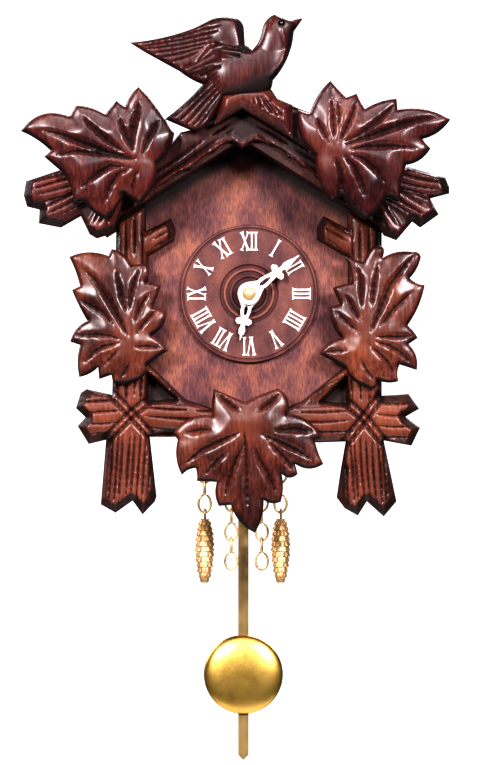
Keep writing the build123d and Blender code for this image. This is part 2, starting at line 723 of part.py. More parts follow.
with BuildPart() as escape_wheel:
    with BuildSketch(front(escape_wheel_layer)):
        with BuildLine():
            escape_corners = []
            for tooth in range(escape_teeth):
                lead = 360.0 / escape_teeth * tooth
                escape_corners.append(polar(escape_at, escape_r, lead))
                escape_corners.append(polar(escape_at, escape_r, lead + 1.5))
                escape_corners.append(polar(escape_at, escape_r - 1.3, lead + 10.0))
                escape_corners.append(polar(escape_at, escape_r - 1.3, lead + 19.0))
            Polyline(*escape_corners, close=True)
        make_face()
    extrude(amount=escape_thick)
    add(cut_crossings(escape_at, 1.4, 3.0, escape_wheel_layer, escape_thick), mode=Mode.SUBTRACT)
    add(toothed_disc(pinion_teeth, train_module, escape_at, escape_phase, escape_pinion_layer, pinion_long))
    add(plain_pivots(escape_at))
write_part(escape_wheel.part, "escape_wheel")

cannon_thick = 1.0
with BuildPart() as cannon_pinion:
    add(toothed_disc(cannon_teeth, train_module, centre_at, 0.0, cannon_layer, cannon_thick))
    add(shaft(centre_at, [(cannon_layer + cannon_thick, minute_hand_at + hand_thick - 0.3, cannon_r)]))
    add(shaft(centre_at, [(cannon_layer - 0.8, 50.0, centre_pivot_r + glue_gap)]), mode=Mode.SUBTRACT)
write_part(cannon_pinion.part, "cannon_pinion")

with BuildPart() as hour_wheel:
    add(toothed_disc(hour_teeth, hour_module, centre_at, hour_phase, hour_wheel_layer, wheel_thick))
    add(shaft(centre_at, [(hour_wheel_layer + wheel_thick, hour_hand_at + hand_thick - 0.05, hour_pipe_r)]))
    add(shaft(centre_at, [(hour_wheel_layer - 0.4, 48.0, cannon_r + running)]), mode=Mode.SUBTRACT)
write_part(hour_wheel.part, "hour_wheel")

with BuildPart() as minute_wheel:
    add(toothed_disc(minute_teeth, train_module, motion_at, minute_phase, cannon_layer, cannon_thick))
    add(toothed_disc(minute_pinion_teeth, hour_module, motion_at, 0.0, cannon_layer + cannon_thick, 1.5))
    add(shaft(motion_at, [(cannon_layer - 0.8, 44.0, motion_stud_r + running)]), mode=Mode.SUBTRACT)
write_part(minute_wheel.part, "minute_wheel")

# ---- barrel and winding work ----
barrel_wall = 0.6
barrel_disc = 1.2
drum_front = 34.0
with BuildPart() as barrel:
    add(toothed_disc(barrel_teeth, barrel_module, barrel_at, barrel_phase, barrel_layer, barrel_disc))
    with BuildSketch(front(barrel_layer + barrel_disc)):
        with Locations(barrel_at):
            Circle(barrel_drum_r)
            Circle(barrel_drum_r - barrel_wall, mode=Mode.SUBTRACT)
    extrude(amount=drum_front - barrel_layer - barrel_disc)
    add(shaft(barrel_at, [(barrel_layer - 0.4, spring_layer, winding_r + running)]), mode=Mode.SUBTRACT)
write_part(barrel.part, "barrel")

spring_turns = 7
spring_inner_r = 2.6
spring_high = 6.4
spring_pitch = (barrel_drum_r - barrel_wall - 0.6 - spring_inner_r) / spring_turns
with BuildPart() as mainspring:
    for coil in range(spring_turns):
        coil_r = spring_inner_r + spring_pitch * (coil + 0.5)
        with BuildSketch(front(spring_layer)):
            with Locations(barrel_at):
                Circle(coil_r + spring_strip / 2)
                Circle(coil_r - spring_strip / 2, mode=Mode.SUBTRACT)
        extrude(amount=spring_high)
    with BuildSketch(front(spring_layer)):
        outermost = spring_inner_r + spring_pitch * (spring_turns - 0.5)
        with Locations(polar(barrel_at, (spring_inner_r + outermost) / 2 + 0.2, 90)):
            Rectangle(spring_strip, outermost - spring_inner_r - 0.3)
    extrude(amount=spring_high)
write_part(mainspring.part, "mainspring")

with BuildPart() as winding_arbor:
    add(shaft(barrel_at, [
        (6.5, 20.2, key_square_r), (20.2, 33.8, winding_r),
        (33.8, front_plate_at - 0.2, 1.4), (front_plate_at - 0.2, plate_front_outer - 0.1, winding_front_r),
    ]))
write_part(winding_arbor.part, "winding_arbor")

ratchet_teeth = 18
ratchet_r = 5.0
ratchet_at = 21.6
ratchet_thick = 1.2
with BuildPart() as ratchet_wheel:
    with BuildSketch(front(ratchet_at)):
        with BuildLine():
            ratchet_corners = []
            for tooth in range(ratchet_teeth):
                lead = 360.0 / ratchet_teeth * tooth
                ratchet_corners.append(polar(barrel_at, ratchet_r, lead))
                ratchet_corners.append(polar(barrel_at, ratchet_r - 0.9, lead + 2.0))
            Polyline(*ratchet_corners, close=True)
        make_face()
        with Locations(barrel_at):
            Circle(winding_r + glue_gap, mode=Mode.SUBTRACT)
    extrude(amount=ratchet_thick)
write_part(ratchet_wheel.part, "ratchet_wheel")

key_sheet = 1.3
key_eye_r = 3.1
with BuildPart() as winding_key:
    add(shaft(barrel_at, [(3.6, 12.5, 2.5)]))
    with BuildSketch(Plane.XY.offset(barrel_at[1] - key_sheet / 2)):
        with Locations((barrel_at[0], -3.3)):
            Rectangle(5.4, 2.6)
        key_eye_x = key_turn_r - key_eye_r
        with Locations((barrel_at[0] - key_eye_x, -3.9), (barrel_at[0] + key_eye_x, -3.9)):
            Circle(key_eye_r)
            Circle(key_eye_r - 1.8, mode=Mode.SUBTRACT)
    extrude(amount=key_sheet)
    add(shaft(barrel_at, [(6.0, 13.0, key_square_r + glue_gap)]), mode=Mode.SUBTRACT)
write_part(winding_key.part, "winding_key")

click_pivot = polar(barrel_at, 8.6, 20)
click_screw_r = 0.8
with BuildPart() as click:
    with BuildSketch(front(ratchet_at)):
        with Locations(click_pivot):
            Circle(1.7)
        with BuildLine():
            Polyline(
                polar(click_pivot, 1.7, 20), polar(barrel_at, 8.6, 62), polar(barrel_at, 5.35, 64),
                polar(barrel_at, 6.2, 52), polar(click_pivot, 1.7, 190), close=True,
            )
        make_face()
        with Locations(click_pivot):
            Circle(click_screw_r + running, mode=Mode.SUBTRACT)
    extrude(amount=ratchet_thick)
write_part(click.part, "click")

with BuildPart() as click_screw:
    add(screw(ratchet_at - 0.05, 1.5, 0.9, click_screw_r, 2.6, click_pivot))
write_part(click_screw.part, "click_screw")

# ---- plates, pillars, cock ----
def plate_blank(at):
    """One movement plate before its holes."""
    with BuildPart() as blank:
        with BuildSketch(front(at)):
            with Locations(((plate_left + plate_right) / 2, (plate_top + plate_bottom) / 2)):
                RectangleRounded(plate_right - plate_left, plate_top - plate_bottom, 2.5)
            with Locations(third_at, fourth_at, escape_at):
                Circle(pivot_hole_r, mode=Mode.SUBTRACT)
        extrude(amount=plate_thick)
    return blank.part


def round_hole(place, radius, at, thick):
    """Cylinder used to bore a plate."""
    return shaft(place, [(at, at + thick, radius)])


tenon_r = 1.2
cock_foot_x = 7.5
cock_screw_r = 0.8
pillar_screw_r = 1.0
with BuildPart() as movement_back_plate:
    add(plate_blank(back_plate_at))
    add(round_hole(centre_at, pivot_hole_r, back_plate_at, plate_thick), mode=Mode.SUBTRACT)
    add(round_hole(barrel_at, winding_r + running, back_plate_at, plate_thick), mode=Mode.SUBTRACT)
    add(round_hole(verge_at, 2.0, back_plate_at, plate_thick), mode=Mode.SUBTRACT)
    add(round_hole(click_pivot, click_screw_r + glue_gap, back_plate_at, plate_thick), mode=Mode.SUBTRACT)
    for place in pillar_places:
        add(round_hole(place, pillar_screw_r + glue_gap, back_plate_at, plate_thick), mode=Mode.SUBTRACT)
    for side in (-1, 1):
        place = (pendulum_x + side * cock_foot_x, pendulum_z)
        add(round_hole(place, cock_screw_r + glue_gap, back_plate_at, plate_thick), mode=Mode.SUBTRACT)
write_part(movement_back_plate.part, "movement_back_plate")

with BuildPart() as movement_front_plate:
    add(plate_blank(front_plate_at))
    add(round_hole(centre_at, centre_pivot_r + running, front_plate_at, plate_thick), mode=Mode.SUBTRACT)
    add(round_hole(barrel_at, winding_front_r + running, front_plate_at, plate_thick), mode=Mode.SUBTRACT)
    add(round_hole(verge_at, pivot_hole_r, front_plate_at, plate_thick), mode=Mode.SUBTRACT)
    for place in pillar_places:
        add(round_hole(place, tenon_r + glue_gap, front_plate_at, plate_thick), mode=Mode.SUBTRACT)
    for place in lug_places:
        add(round_hole(place, lug_screw_r + 0.05, front_plate_at, plate_thick), mode=Mode.SUBTRACT)
    add(shaft(motion_at, [(plate_front_outer, 43.5, motion_stud_r)]))
write_part(movement_front_plate.part, "movement_front_plate")

with BuildPart() as movement_pillars:
    for place in pillar_places:
        add(shaft(place, [
            (plate_rear_inner, plate_rear_inner + 1.5, 2.2), (plate_rear_inner + 1.5, front_plate_at - 1.5, 1.8),
            (front_plate_at - 1.5, front_plate_at, 2.2), (front_plate_at, plate_front_outer, tenon_r),
        ]))
        bore = shaft(place, [(plate_rear_inner, plate_rear_inner + 4.0, pillar_screw_r + glue_gap)])
        add(bore, mode=Mode.SUBTRACT)
write_part(movement_pillars.part, "movement_pillars")

with BuildPart() as movement_screws:
    for place in lug_places:
        add(screw(front_plate_at, 1.7, 0.9, lug_screw_r, lug_screw_long, place))
write_part(movement_screws.part, "movement_screws")

cock_back = 18.6
cock_front = 20.0
cock_pin_r = 0.8
with BuildPart() as suspension_cock:
    with BuildSketch(front(cock_back)):
        with Locations(verge_at):
            RectangleRounded(19, 5, 2)
        for side in (-1, 1):
            with Locations((pendulum_x + side * cock_foot_x, pendulum_z)):
                Circle(cock_screw_r + glue_gap, mode=Mode.SUBTRACT)
    extrude(amount=cock_front - cock_back)
    for side in (-1, 1):
        with BuildSketch(front(cock_front)):
            with Locations((pendulum_x + side * cock_foot_x, pendulum_z)):
                RectangleRounded(4, 5, 1.2)
                Circle(cock_screw_r + glue_gap, mode=Mode.SUBTRACT)
        extrude(amount=back_plate_at - cock_front)
    add(shaft(verge_at, [(19.0, cock_front, pivot_hole_r)]), mode=Mode.SUBTRACT)
    add(shaft(verge_at, [(15.6, cock_back, cock_pin_r), (15.0, 15.6, 1.4)]))
write_part(suspension_cock.part, "suspension_cock")

with BuildPart() as plate_screws:
    for place in pillar_places:
        add(screw(back_plate_at, 1.8, 1.0, pillar_screw_r, 4.5, place))
    for side in (-1, 1):
        add(screw(cock_back, 1.5, 0.8, cock_screw_r, 5.7, (pendulum_x + side * cock_foot_x, pendulum_z)))
write_part(plate_screws.part, "plate_screws")

# ---- anchor, crutch and pendulum ----
pallet_r = 5.9
pallet_angle = 45.0
with BuildPart() as anchor:
    with BuildSketch(front(anchor_layer)):
        with Locations(verge_at):
            Circle(1.8)
        for side in (-1, 1):
            tip = polar(escape_at, pallet_r, 90 + side * pallet_angle)
            with BuildLine():
                Polyline(
                    (verge_at[0], verge_at[1] + 1.7), polar(escape_at, pallet_r + 2.0, 90 + side * 34),
                    polar(escape_at, pallet_r + 1.6, 90 + side * 48), tip,
                    polar(escape_at, pallet_r + 0.3, 90 + side * 36), (verge_at[0], verge_at[1] - 0.4), close=True,
                )
            make_face()
    extrude(amount=1.2)
    add(shaft(verge_at, [
        (19.1, cock_front, pivot_r), (cock_front, front_plate_at - 0.2, arbor_r),
        (front_plate_at - 0.2, plate_front_outer - 0.1, pivot_r),
    ]))
write_part(anchor.part, "anchor")

crutch_drop = 22.0
crutch_at = 20.5
fork_back = 15.2
fork_front = 17.8
fork_gap = rod_wide / 2 + 0.15
with BuildPart() as crutch:
    with BuildSketch(front(crutch_at)):
        with Locations(verge_at):
            Circle(1.6)
        with Locations((pendulum_x, pendulum_z - crutch_drop / 2)):
            Rectangle(1.0, crutch_drop)
        with Locations(verge_at):
            Circle(arbor_r + glue_gap, mode=Mode.SUBTRACT)
    extrude(amount=1.0)
    with BuildSketch(front(fork_front)):
        with Locations((pendulum_x, pendulum_z - crutch_drop)):
            Rectangle(2 * fork_gap + 1.2, 1.2)
    extrude(amount=crutch_at + 1.0 - fork_front)
    for side in (-1, 1):
        with BuildSketch(front(fork_back)):
            with Locations((pendulum_x + side * (fork_gap + 0.3), pendulum_z - crutch_drop)):
                Rectangle(0.6, 1.2)
        extrude(amount=fork_front - fork_back)
write_part(crutch.part, "crutch")

rod_back = pendulum_plane - rod_thick / 2
with BuildPart() as pendulum_rod:
    with BuildSketch(front(rod_back)):
        with BuildLine():
            Polyline(
                (pendulum_x - rod_wide / 2, pendulum_z), (pendulum_x - rod_wide / 2, rod_tip + 1.6),
                (pendulum_x, rod_tip), (pendulum_x + rod_wide / 2, rod_tip + 1.6),
                (pendulum_x + rod_wide / 2, pendulum_z), close=True,
            )
        make_face()
        with Locations(verge_at):
            Circle(2.6)
            Circle(cock_pin_r + running, mode=Mode.SUBTRACT)
    extrude(amount=rod_thick)
write_part(pendulum_rod.part, "pendulum_rod")

rod_front = rod_back + rod_thick
bob_back = rod_front + 0.35
bob_dome = bob_half - bob_rim
with BuildPart() as pendulum_bob:
    with BuildSketch(front(bob_back)):
        with Locations((pendulum_x, bob_z)):
            Circle(bob_r)
    extrude(amount=bob_rim)
    dome_plane = Plane(origin=(pendulum_x, -bob_back - bob_rim, bob_z), x_dir=(1, 0, 0), z_dir=(0, 0, 1))
    with BuildSketch(dome_plane):
        with BuildLine():
            Line((0, 0), (bob_r, 0))
            ThreePointArc((bob_r, 0), (bob_r * 0.62, -bob_dome * 0.66), (0, -bob_dome))
            Line((0, -bob_dome), (0, 0))
        make_face()
    revolve(axis=Axis((pendulum_x, 0, bob_z), (0, 1, 0)))
write_part(pendulum_bob.part, "pendulum_bob")

clip_wide = rod_wide + 2.2
with BuildPart() as bob_clip:
    with BuildSketch(front(rod_back - 0.75)):
        with Locations((pendulum_x, bob_z)):
            Rectangle(clip_wide, 9)
    extrude(amount=bob_back - rod_back + 0.75)
    with BuildSketch(front(rod_back - 0.05)):
        with Locations((pendulum_x, bob_z)):
            Rectangle(rod_wide + 0.2, 9)
    extrude(amount=rod_thick + 0.1, mode=Mode.SUBTRACT)
write_part(bob_clip.part, "bob_clip")

# ---- chains and cones ----
upper_high = 5.1
lower_high = 5.9
upper_wide = 2.9
lower_wide = 4.35
wire = 0.7
ring_r = 2.0
ring_z = hook_top - 3.4
link_gap = 0.25
chain_top = ring_z - ring_r + wire + link_gap + wire
link_pitch = upper_high + lower_high - 3 * wire - link_gap
cone_places = [(-13.0, 33.0), (9.3, 33.0)]
bare_places = [(-5.2, 25.0), (3.8, 25.0)]

with BuildPart() as chain_hooks:
    for x, s in cone_places + bare_places:
        with BuildSketch(front(s - wire / 2)):
            with Locations((x, ring_z)):
                Circle(ring_r)
                Circle(ring_r - wire, mode=Mode.SUBTRACT)
            with Locations((x, (hook_top + ring_z + ring_r) / 2 - 0.1)):
                Rectangle(wire, hook_top - ring_z - ring_r + 0.2)
        extrude(amount=wire)
write_part(chain_hooks.part, "chain_hooks")


def slot_ring(plane, high, wide):
    """Flat oval ring of square wire on a plane, centred in its thickness."""
    with BuildPart() as ring:
        with BuildSketch(plane.offset(-wire / 2)):
            SlotOverall(high, wide, rotation=90)
            SlotOverall(high - 2 * wire, wide - 2 * wire, rotation=90, mode=Mode.SUBTRACT)
        extrude(amount=wire)
    return ring.part


def chain_link(x, s, top):
    """One link: an upper loop across the wall and a wider lower loop along it, joined end to end."""
    upper_plane = Plane(origin=(x, -s, top - upper_high / 2), x_dir=(0, 1, 0), z_dir=(1, 0, 0))
    lower_z = top - upper_high + wire - lower_high / 2
    lower_plane = Plane(origin=(x, -s, lower_z), x_dir=(1, 0, 0), z_dir=(0, -1, 0))
    with BuildPart() as link:
        add(slot_ring(upper_plane, upper_high, upper_wide))
        add(slot_ring(lower_plane, lower_high, lower_wide))
    return link.part


def strand(x, s, links):
    """Hanging strand of separate links."""
    with BuildPart() as chain:
        for link in range(links):
            add(chain_link(x, s, chain_top - link_pitch * link))
    return chain.part


strands = {
    "chain_left_cone": (*cone_places[0], 2), "chain_right_cone": (*cone_places[1], 2),
    "chain_left_bare": (*bare_places[0], 4), "chain_right_bare": (*bare_places[1], 4),
}
for strand_name, (x, s, links) in strands.items():
    write_part(strand(x, s, links), strand_name)

cone_hang = chain_top - link_pitch - upper_high + wire - lower_high + wire + link_gap
cone_tip = -118.9
cone_r = 3.15
cone_widest = -107.3
for cone_name, (x, s) in (("cone_left", cone_places[0]), ("cone_right", cone_places[1])):
    eye_high = 3.4
    cone_top = cone_hang + wire - eye_high + 0.2
    with BuildPart() as cone:
        with BuildSketch(Plane(origin=(x, -s, 0), x_dir=(1, 0, 0), z_dir=(0, -1, 0))):
            with BuildLine():
                Line((0, cone_tip), (0, cone_top))
                Line((0, cone_top), (0.9, cone_top))
                Spline((0.9, cone_top), (cone_r, cone_widest), (1.4, cone_tip + 2.6))
                Line((1.4, cone_tip + 2.6), (0, cone_tip))
            make_face()
        revolve(axis=Axis((x, -s, 0), (0, 0, 1)))
        eye_plane = Plane(origin=(x, -s, cone_hang + wire - eye_high / 2), x_dir=(0, 1, 0), z_dir=(1, 0, 0))
        add(slot_ring(eye_plane, eye_high, upper_wide))
    write_part(cone.part, cone_name)
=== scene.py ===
"""Looks of a miniature carved pendulum wall clock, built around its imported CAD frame.

Lengths in the shape data are millimetres in the clock's own frame: x to the right, z up, and s, the stand-off
in front of the wall (s = -y). Meshes are written in metres.
"""
import math
import random

import bmesh
import bpy
import numpy as np
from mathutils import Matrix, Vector
from mathutils.geometry import delaunay_2d_cdt


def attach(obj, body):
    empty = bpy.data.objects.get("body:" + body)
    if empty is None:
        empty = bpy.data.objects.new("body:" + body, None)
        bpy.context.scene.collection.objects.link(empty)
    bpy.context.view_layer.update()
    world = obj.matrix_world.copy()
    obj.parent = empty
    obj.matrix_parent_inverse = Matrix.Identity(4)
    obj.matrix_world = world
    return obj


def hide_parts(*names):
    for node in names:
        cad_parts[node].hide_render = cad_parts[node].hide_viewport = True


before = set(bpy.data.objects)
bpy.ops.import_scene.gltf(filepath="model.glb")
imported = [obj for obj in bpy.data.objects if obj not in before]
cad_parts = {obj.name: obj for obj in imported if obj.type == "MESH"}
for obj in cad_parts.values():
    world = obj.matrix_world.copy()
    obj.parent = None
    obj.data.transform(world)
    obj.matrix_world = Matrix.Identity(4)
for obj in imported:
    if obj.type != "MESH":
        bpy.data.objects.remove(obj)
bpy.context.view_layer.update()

MM = 0.001
OUTLINE_STEP = 0.4
# Stain value of the back and the foot of the side walls, dark for painted shade on the walls.
BACK_WALL_SHADE = 0.78
BOARD_FRONT = 44.0
ROOF_FRONT = 60.0
DIAL = (0.0, -34.5)
DIAL_FACE = 45.6


# ------------------------------------------------------------------ mesh helpers
def make_object(name, verts, faces, material, smooth_angle=40.0):
    """Mesh object from millimetre points (x, s, z) and faces, smooth except across sharp edges."""
    mesh = bpy.data.meshes.new(name)
    mesh.from_pydata([(x * MM, -s * MM, z * MM) for x, s, z in verts], [], faces)
    mesh.validate()
    obj = bpy.data.objects.new(name, mesh)
    bpy.context.collection.objects.link(obj)
    mesh.materials.append(material)
    finish_normals(obj, smooth_angle)
    return obj


def finish_normals(obj, smooth_angle=40.0):
    """Outward normals, and smooth shading with edges sharper than the angle kept."""
    work = bmesh.new()
    work.from_mesh(obj.data)
    bmesh.ops.recalc_face_normals(work, faces=work.faces)
    limit = math.radians(smooth_angle)
    for edge in work.edges:
        edge.smooth = len(edge.link_faces) == 2 and edge.calc_face_angle(0.0) < limit
    for face in work.faces:
        face.smooth = True
    work.to_mesh(obj.data)
    work.free()


def outline_points(corners, centre):
    """Dense closed outline of (x, z) or (x, z, bulge) corners about a centre, and each point's own corner."""
    points, owners = [], []
    for index, corner in enumerate(corners):
        x0, z0, bulge = (*corner, 0)[:3]
        x1, z1 = corners[(index + 1) % len(corners)][:2]
        chord = math.hypot(x1 - x0, z1 - z0)
        steps = max(1, round(chord / OUTLINE_STEP))
        for step in range(steps):
            t = step / steps
            lift = 4 * bulge * t * (1 - t)
            x = centre[0] + x0 + (x1 - x0) * t - (z1 - z0) / chord * lift
            z = centre[1] + z0 + (z1 - z0) * t + (x1 - x0) / chord * lift
            points.append((x, z))
            owners.append(index)
    return np.array(points), np.array(owners)


def segment_distances(points, starts, ends):
    """Distance from each point to each segment, as a points-by-segments table."""
    along = ends - starts
    length2 = np.maximum((along**2).sum(1), 1e-12)
    offset = points[:, None, :] - starts[None, :, :]
    t = np.clip((offset * along[None]).sum(2) / length2[None], 0, 1)
    nearest = starts[None] + t[..., None] * along[None]
    return np.sqrt(((points[:, None, :] - nearest) ** 2).sum(2))


def inside(points, loop):
    """Even-odd test of points against a closed loop."""
    x, z = points[:, 0:1], points[:, 1:2]
    x0, z0 = loop[None, :, 0], loop[None, :, 1]
    x1, z1 = np.roll(loop[:, 0], -1)[None], np.roll(loop[:, 1], -1)[None]
    crosses = (z0 > z) != (z1 > z)
    span = np.where(z1 == z0, 1e-9, z1 - z0)
    left = x < (x1 - x0) * (z - z0) / span + x0
    return (np.where(crosses & left, 1, 0).sum(1) % 2) == 1


def smoothstep(value):
    value = np.clip(value, 0, 1)
    return value * value * (3 - 2 * value)


def gouge_samples(path, spacing=0.35):
    """Evenly spaced points along a gouge's polyline, with their place t from 0 to 1."""
    path = np.array(path, float)
    lengths = np.sqrt(((path[1:] - path[:-1]) ** 2).sum(1))
    total = lengths.sum()
    reach = np.concatenate([[0], np.cumsum(lengths)])
    count = max(3, int(total / spacing))
    where = np.linspace(0, total, count)
    x = np.interp(where, reach, path[:, 0])
    z = np.interp(where, reach, path[:, 1])
    return np.stack([x, z], 1), where / total


def lens_width(half_width, place):
    """Half width of a lens-shaped cut at each place (0 to 1) along it."""
    lens = np.sin(np.pi * np.clip(place * 0.94 + 0.04, 0, 1)) ** 0.55
    return np.maximum(half_width * lens, 0.05), lens


def gouge_lines(half_width, path, step):
    """Mesh points along a cut's bottom and along both of its shoulders."""
    line, place = gouge_samples(path, step)
    width, _ = lens_width(half_width, place)
    along = np.gradient(line, axis=0)
    along /= np.maximum(np.sqrt((along**2).sum(1)), 1e-9)[:, None]
    side = np.stack([-along[:, 1], along[:, 0]], 1) * width[:, None]
    return [line[1:-1], (line + side)[1:-1], (line - side)[1:-1]]


def gouge_field(points, gouges):
    """Deepest cut (0 to 1, times each gouge's depth) and distance to the nearest gouge line."""
    cut = np.zeros(len(points))
    near = np.full(len(points), 99.0)
    for half_width, depth, path in gouges:
        line, place = gouge_samples(path)
        low = line.min(0) - 9
        high = line.max(0) + 9
        close = np.where(((points > low) & (points < high)).all(1))[0]
        if not len(close):
            continue
        gaps = np.sqrt(((points[close][:, None] - line[None]) ** 2).sum(2))
        best = gaps.argmin(1)
        gap = gaps[np.arange(len(close)), best]
        width, lens = lens_width(half_width, place[best])
        value = depth * lens * np.clip(1 - gap / width, 0, 1)
        cut[close] = np.maximum(cut[close], value)
        near[close] = np.minimum(near[close], gap)
    return cut, near


def thinned(points, spacing):
    """Points with near duplicates dropped, by keeping the first in each cell of a fine grid."""
    cells = np.round(points / spacing).astype(int)
    _, first = np.unique(cells, axis=0, return_index=True)
    return points[np.sort(first)]


def relaxed(tall, faces, share, rounds):
    """Heights eased towards the mean of their neighbours, by each point's own share."""
    pairs = np.array([(a, b) for face in faces for a, b in zip(face, face[1:] + face[:1])])
    for _ in range(rounds):
        total, count = np.zeros(len(tall)), np.zeros(len(tall))
        for first, second in ((0, 1), (1, 0)):
            np.add.at(total, pairs[:, first], tall[pairs[:, second]])
            np.add.at(count, pairs[:, first], 1.0)
        tall = tall + share * 0.6 * (total / np.maximum(count, 1.0) - tall)
    return tall


def relief(name, corners, centre, back, height, material, gouges=(), bevels=None, bevel=1.2, step=0.42,
           two_sided=False, wall=1.8, rounds=2, under=0.0):
    """Carved relief over an outline, standing on the plane s = back.

    height(points, rim, edge_gap, cut, near) gives millimetres in front of that plane, and the stain value,
    which also carries painted shade and painted highlights.
    bevels maps a corner index to the width of the cut slope along the edge that starts there.
    wall is the height at the rim, rounds the passes of easing, and under what downward edges gain in slope;
    under also paints shade on those downward edges.
    two_sided mirrors the relief to the back, a little shallower.
    """
    loop, owners = outline_points(corners, centre)
    starts, ends = loop, np.roll(loop, -1, axis=0)
    widths = np.array([(bevels or {}).get(int(owner), bevel) for owner in owners])
    gouges = [(w, d, [(centre[0] + x, centre[1] + z) for x, z in path]) for w, d, path in gouges]

    low, high = loop.min(0), loop.max(0)
    rows = np.arange(low[1], high[1], step * 0.866)
    grid = []
    for number, z in enumerate(rows):
        x = np.arange(low[0] + (number % 2) * step / 2, high[0], step)
        grid.append(np.stack([x, np.full(len(x), z)], 1))
    grid = np.concatenate(grid)
    grid = grid[inside(grid, loop)]

    normal = np.roll(loop, -1, 0) - np.roll(loop, 1, 0)
    normal = np.stack([normal[:, 1], -normal[:, 0]], 1) / np.sqrt((normal**2).sum(1))[:, None]
    if not inside(loop + normal * 0.05, loop).mean() > 0.5:
        normal = -normal
    faces_down = np.clip(normal[:, 1] * 1.6 - 0.2, 0, 1)
    widths = widths + under * faces_down
    rings = []
    for share in (0.5, 1.0):
        ring = loop + normal * (widths * share)[:, None]
        keep = inside(ring, loop)
        ring, want = ring[keep], (widths * share)[keep]
        gap = segment_distances(ring, starts, ends).min(1)
        rings.append(ring[gap > want * 0.93])
    lines = [points for half, _, path in gouges for points in gouge_lines(half, path, step)]
    extra = np.concatenate(rings + lines) if lines else np.concatenate(rings)
    extra = extra[inside(extra, loop)]
    edge_gap = segment_distances(grid, starts, ends).min(1)
    crowd = np.sqrt(((grid[:, None] - extra[None]) ** 2).sum(2)).min(1) if len(extra) else 99
    in_cut = gouge_field(grid, gouges)[0] > 0.05
    grid = grid[(edge_gap > step * 0.45) & (crowd > step * 0.5) & ~in_cut]
    gap = segment_distances(extra, starts, ends).min(1)
    extra = thinned(extra[gap > 0.12], 0.11)
    points = np.concatenate([loop, grid, extra])

    count = len(loop)
    edges = [(i, (i + 1) % count) for i in range(count)]
    coords, _, faces, _, _, _ = delaunay_2d_cdt(
        [Vector(p) for p in points], edges, [list(range(count))], 1, 1e-5)
    flat = np.array([tuple(c) for c in coords])
    gaps = segment_distances(flat, starts, ends)
    edge_gap = gaps.min(1)
    rim = np.clip((gaps / widths[None]).min(1), 0, 1)
    cut, near = gouge_field(flat, gouges)
    tall, stain_and_shading = height(flat, rim, edge_gap, cut, near)
    # Painted shade on edges that face downwards, as if the light from above left them in shadow.
    if under:
        stain_and_shading = np.clip(stain_and_shading + 0.75 * (1 - rim) ** 0.7 * faces_down[gaps.argmin(1)], 0, 1)
    border = edge_gap < 1e-4
    tall = np.where(border, wall, np.maximum(tall, 0.2))
    tall = relaxed(tall, faces, np.where(border, 0.0, np.clip(1 - cut / 0.3, 0.06, 1.0)), rounds)

    verts = [(x, back + h, z) for (x, z), h in zip(flat, tall)]
    stain_and_shading_values = list(stain_and_shading)
    out = [list(f) for f in faces]
    if two_sided:
        offset = len(verts)
        depth = tall - wall
        verts = [(x, back + wall / 2 + h, z) for (x, z), h in zip(flat, depth)]
        verts += [(x, back - wall / 2 - h * 0.75, z) for (x, z), h in zip(flat, depth)]
        stain_and_shading_values = list(stain_and_shading) * 2
        out += [[offset + i for i in reversed(f)] for f in faces]
        rim_faces = bordered_edges(faces)
        out += [[a, b, offset + b, offset + a] for a, b in rim_faces]
    else:
        rim_edges = bordered_edges(faces)
        ring_verts = sorted({v for edge in rim_edges for v in edge})
        at = {}
        for v in ring_verts:
            at[v] = len(verts)
            verts.append((flat[v][0], back, flat[v][1]))
            stain_and_shading_values.append(BACK_WALL_SHADE)
        out += [[a, b, at[b], at[a]] for a, b in rim_edges]
        out += chain_loops([(at[a], at[b]) for a, b in rim_edges])
    obj = make_object(name, verts, out, material, 38)
    layer = obj.data.attributes.new("stain_and_shading", "FLOAT", "POINT")
    layer.data.foreach_set("value", np.array(stain_and_shading_values, dtype=np.float32))
    return obj


def bordered_edges(faces):
    """Edges that belong to one face only, in that face's direction."""
    seen = {}
    for face in faces:
        for a, b in zip(face, list(face[1:]) + [face[0]]):
            key = (min(a, b), max(a, b))
            seen.setdefault(key, []).append((a, b))
    return [pair[0] for pair in seen.values() if len(pair) == 1]


def chain_loops(edges):
    """Closed polygons from directed border edges."""
    following = dict(edges)
    loops = []
    while following:
        start, here = next(iter(following.items()))
        loop = [start]
        del following[start]
        while here != start and here in following:
            loop.append(here)
            here = following.pop(here)
        loops.append(list(reversed(loop)))
    return loops


def lathe(name, profile, centre, material, segments, smooth_angle=35):
    """Turned piece: profile of (radius, s) about an (x, z) centre."""
    verts, faces = [], []
    rings = []
    for radius, along in profile:
        if radius < 1e-6:
            rings.append([len(verts)])
            verts.append((0.0, along, 0.0))
            continue
        ring = []
        for k in range(segments):
            angle = 2 * math.pi * k / segments
            ring.append(len(verts))
            verts.append((radius * math.cos(angle), along, radius * math.sin(angle)))
        rings.append(ring)
    for lower, upper in zip(rings, rings[1:]):
        for k in range(segments):
            n = (k + 1) % segments
            if len(lower) == 1:
                faces.append([lower[0], upper[k], upper[n]])
            elif len(upper) == 1:
                faces.append([lower[n], lower[k], upper[0]])
            else:
                faces.append([lower[k], upper[k], upper[n], lower[n]])
    placed = [(centre[0] + x, along, centre[1] + z) for x, along, z in verts]
    return make_object(name, placed, faces, material, smooth_angle)


def belongs(piece, body, node):
    """Fixes a piece to its body, in place of a CAD node, which is hidden."""
    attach(piece, body)
    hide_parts(node)


# ------------------------------------------------------------------ materials
def new_material(name):
    material = bpy.data.materials.new(name)
    material.use_nodes = True
    tree = material.node_tree
    shader = tree.nodes["Principled BSDF"]
    return material, tree, shader


def stretched(tree, stretch):
    """Object coordinates scaled along each axis, in units of a metre."""
    place = tree.nodes.new("ShaderNodeTexCoord")
    mapping = tree.nodes.new("ShaderNodeMapping")
    mapping.inputs["Scale"].default_value = stretch
    tree.links.new(place.outputs["Object"], mapping.inputs["Vector"])
    return mapping.outputs["Vector"]


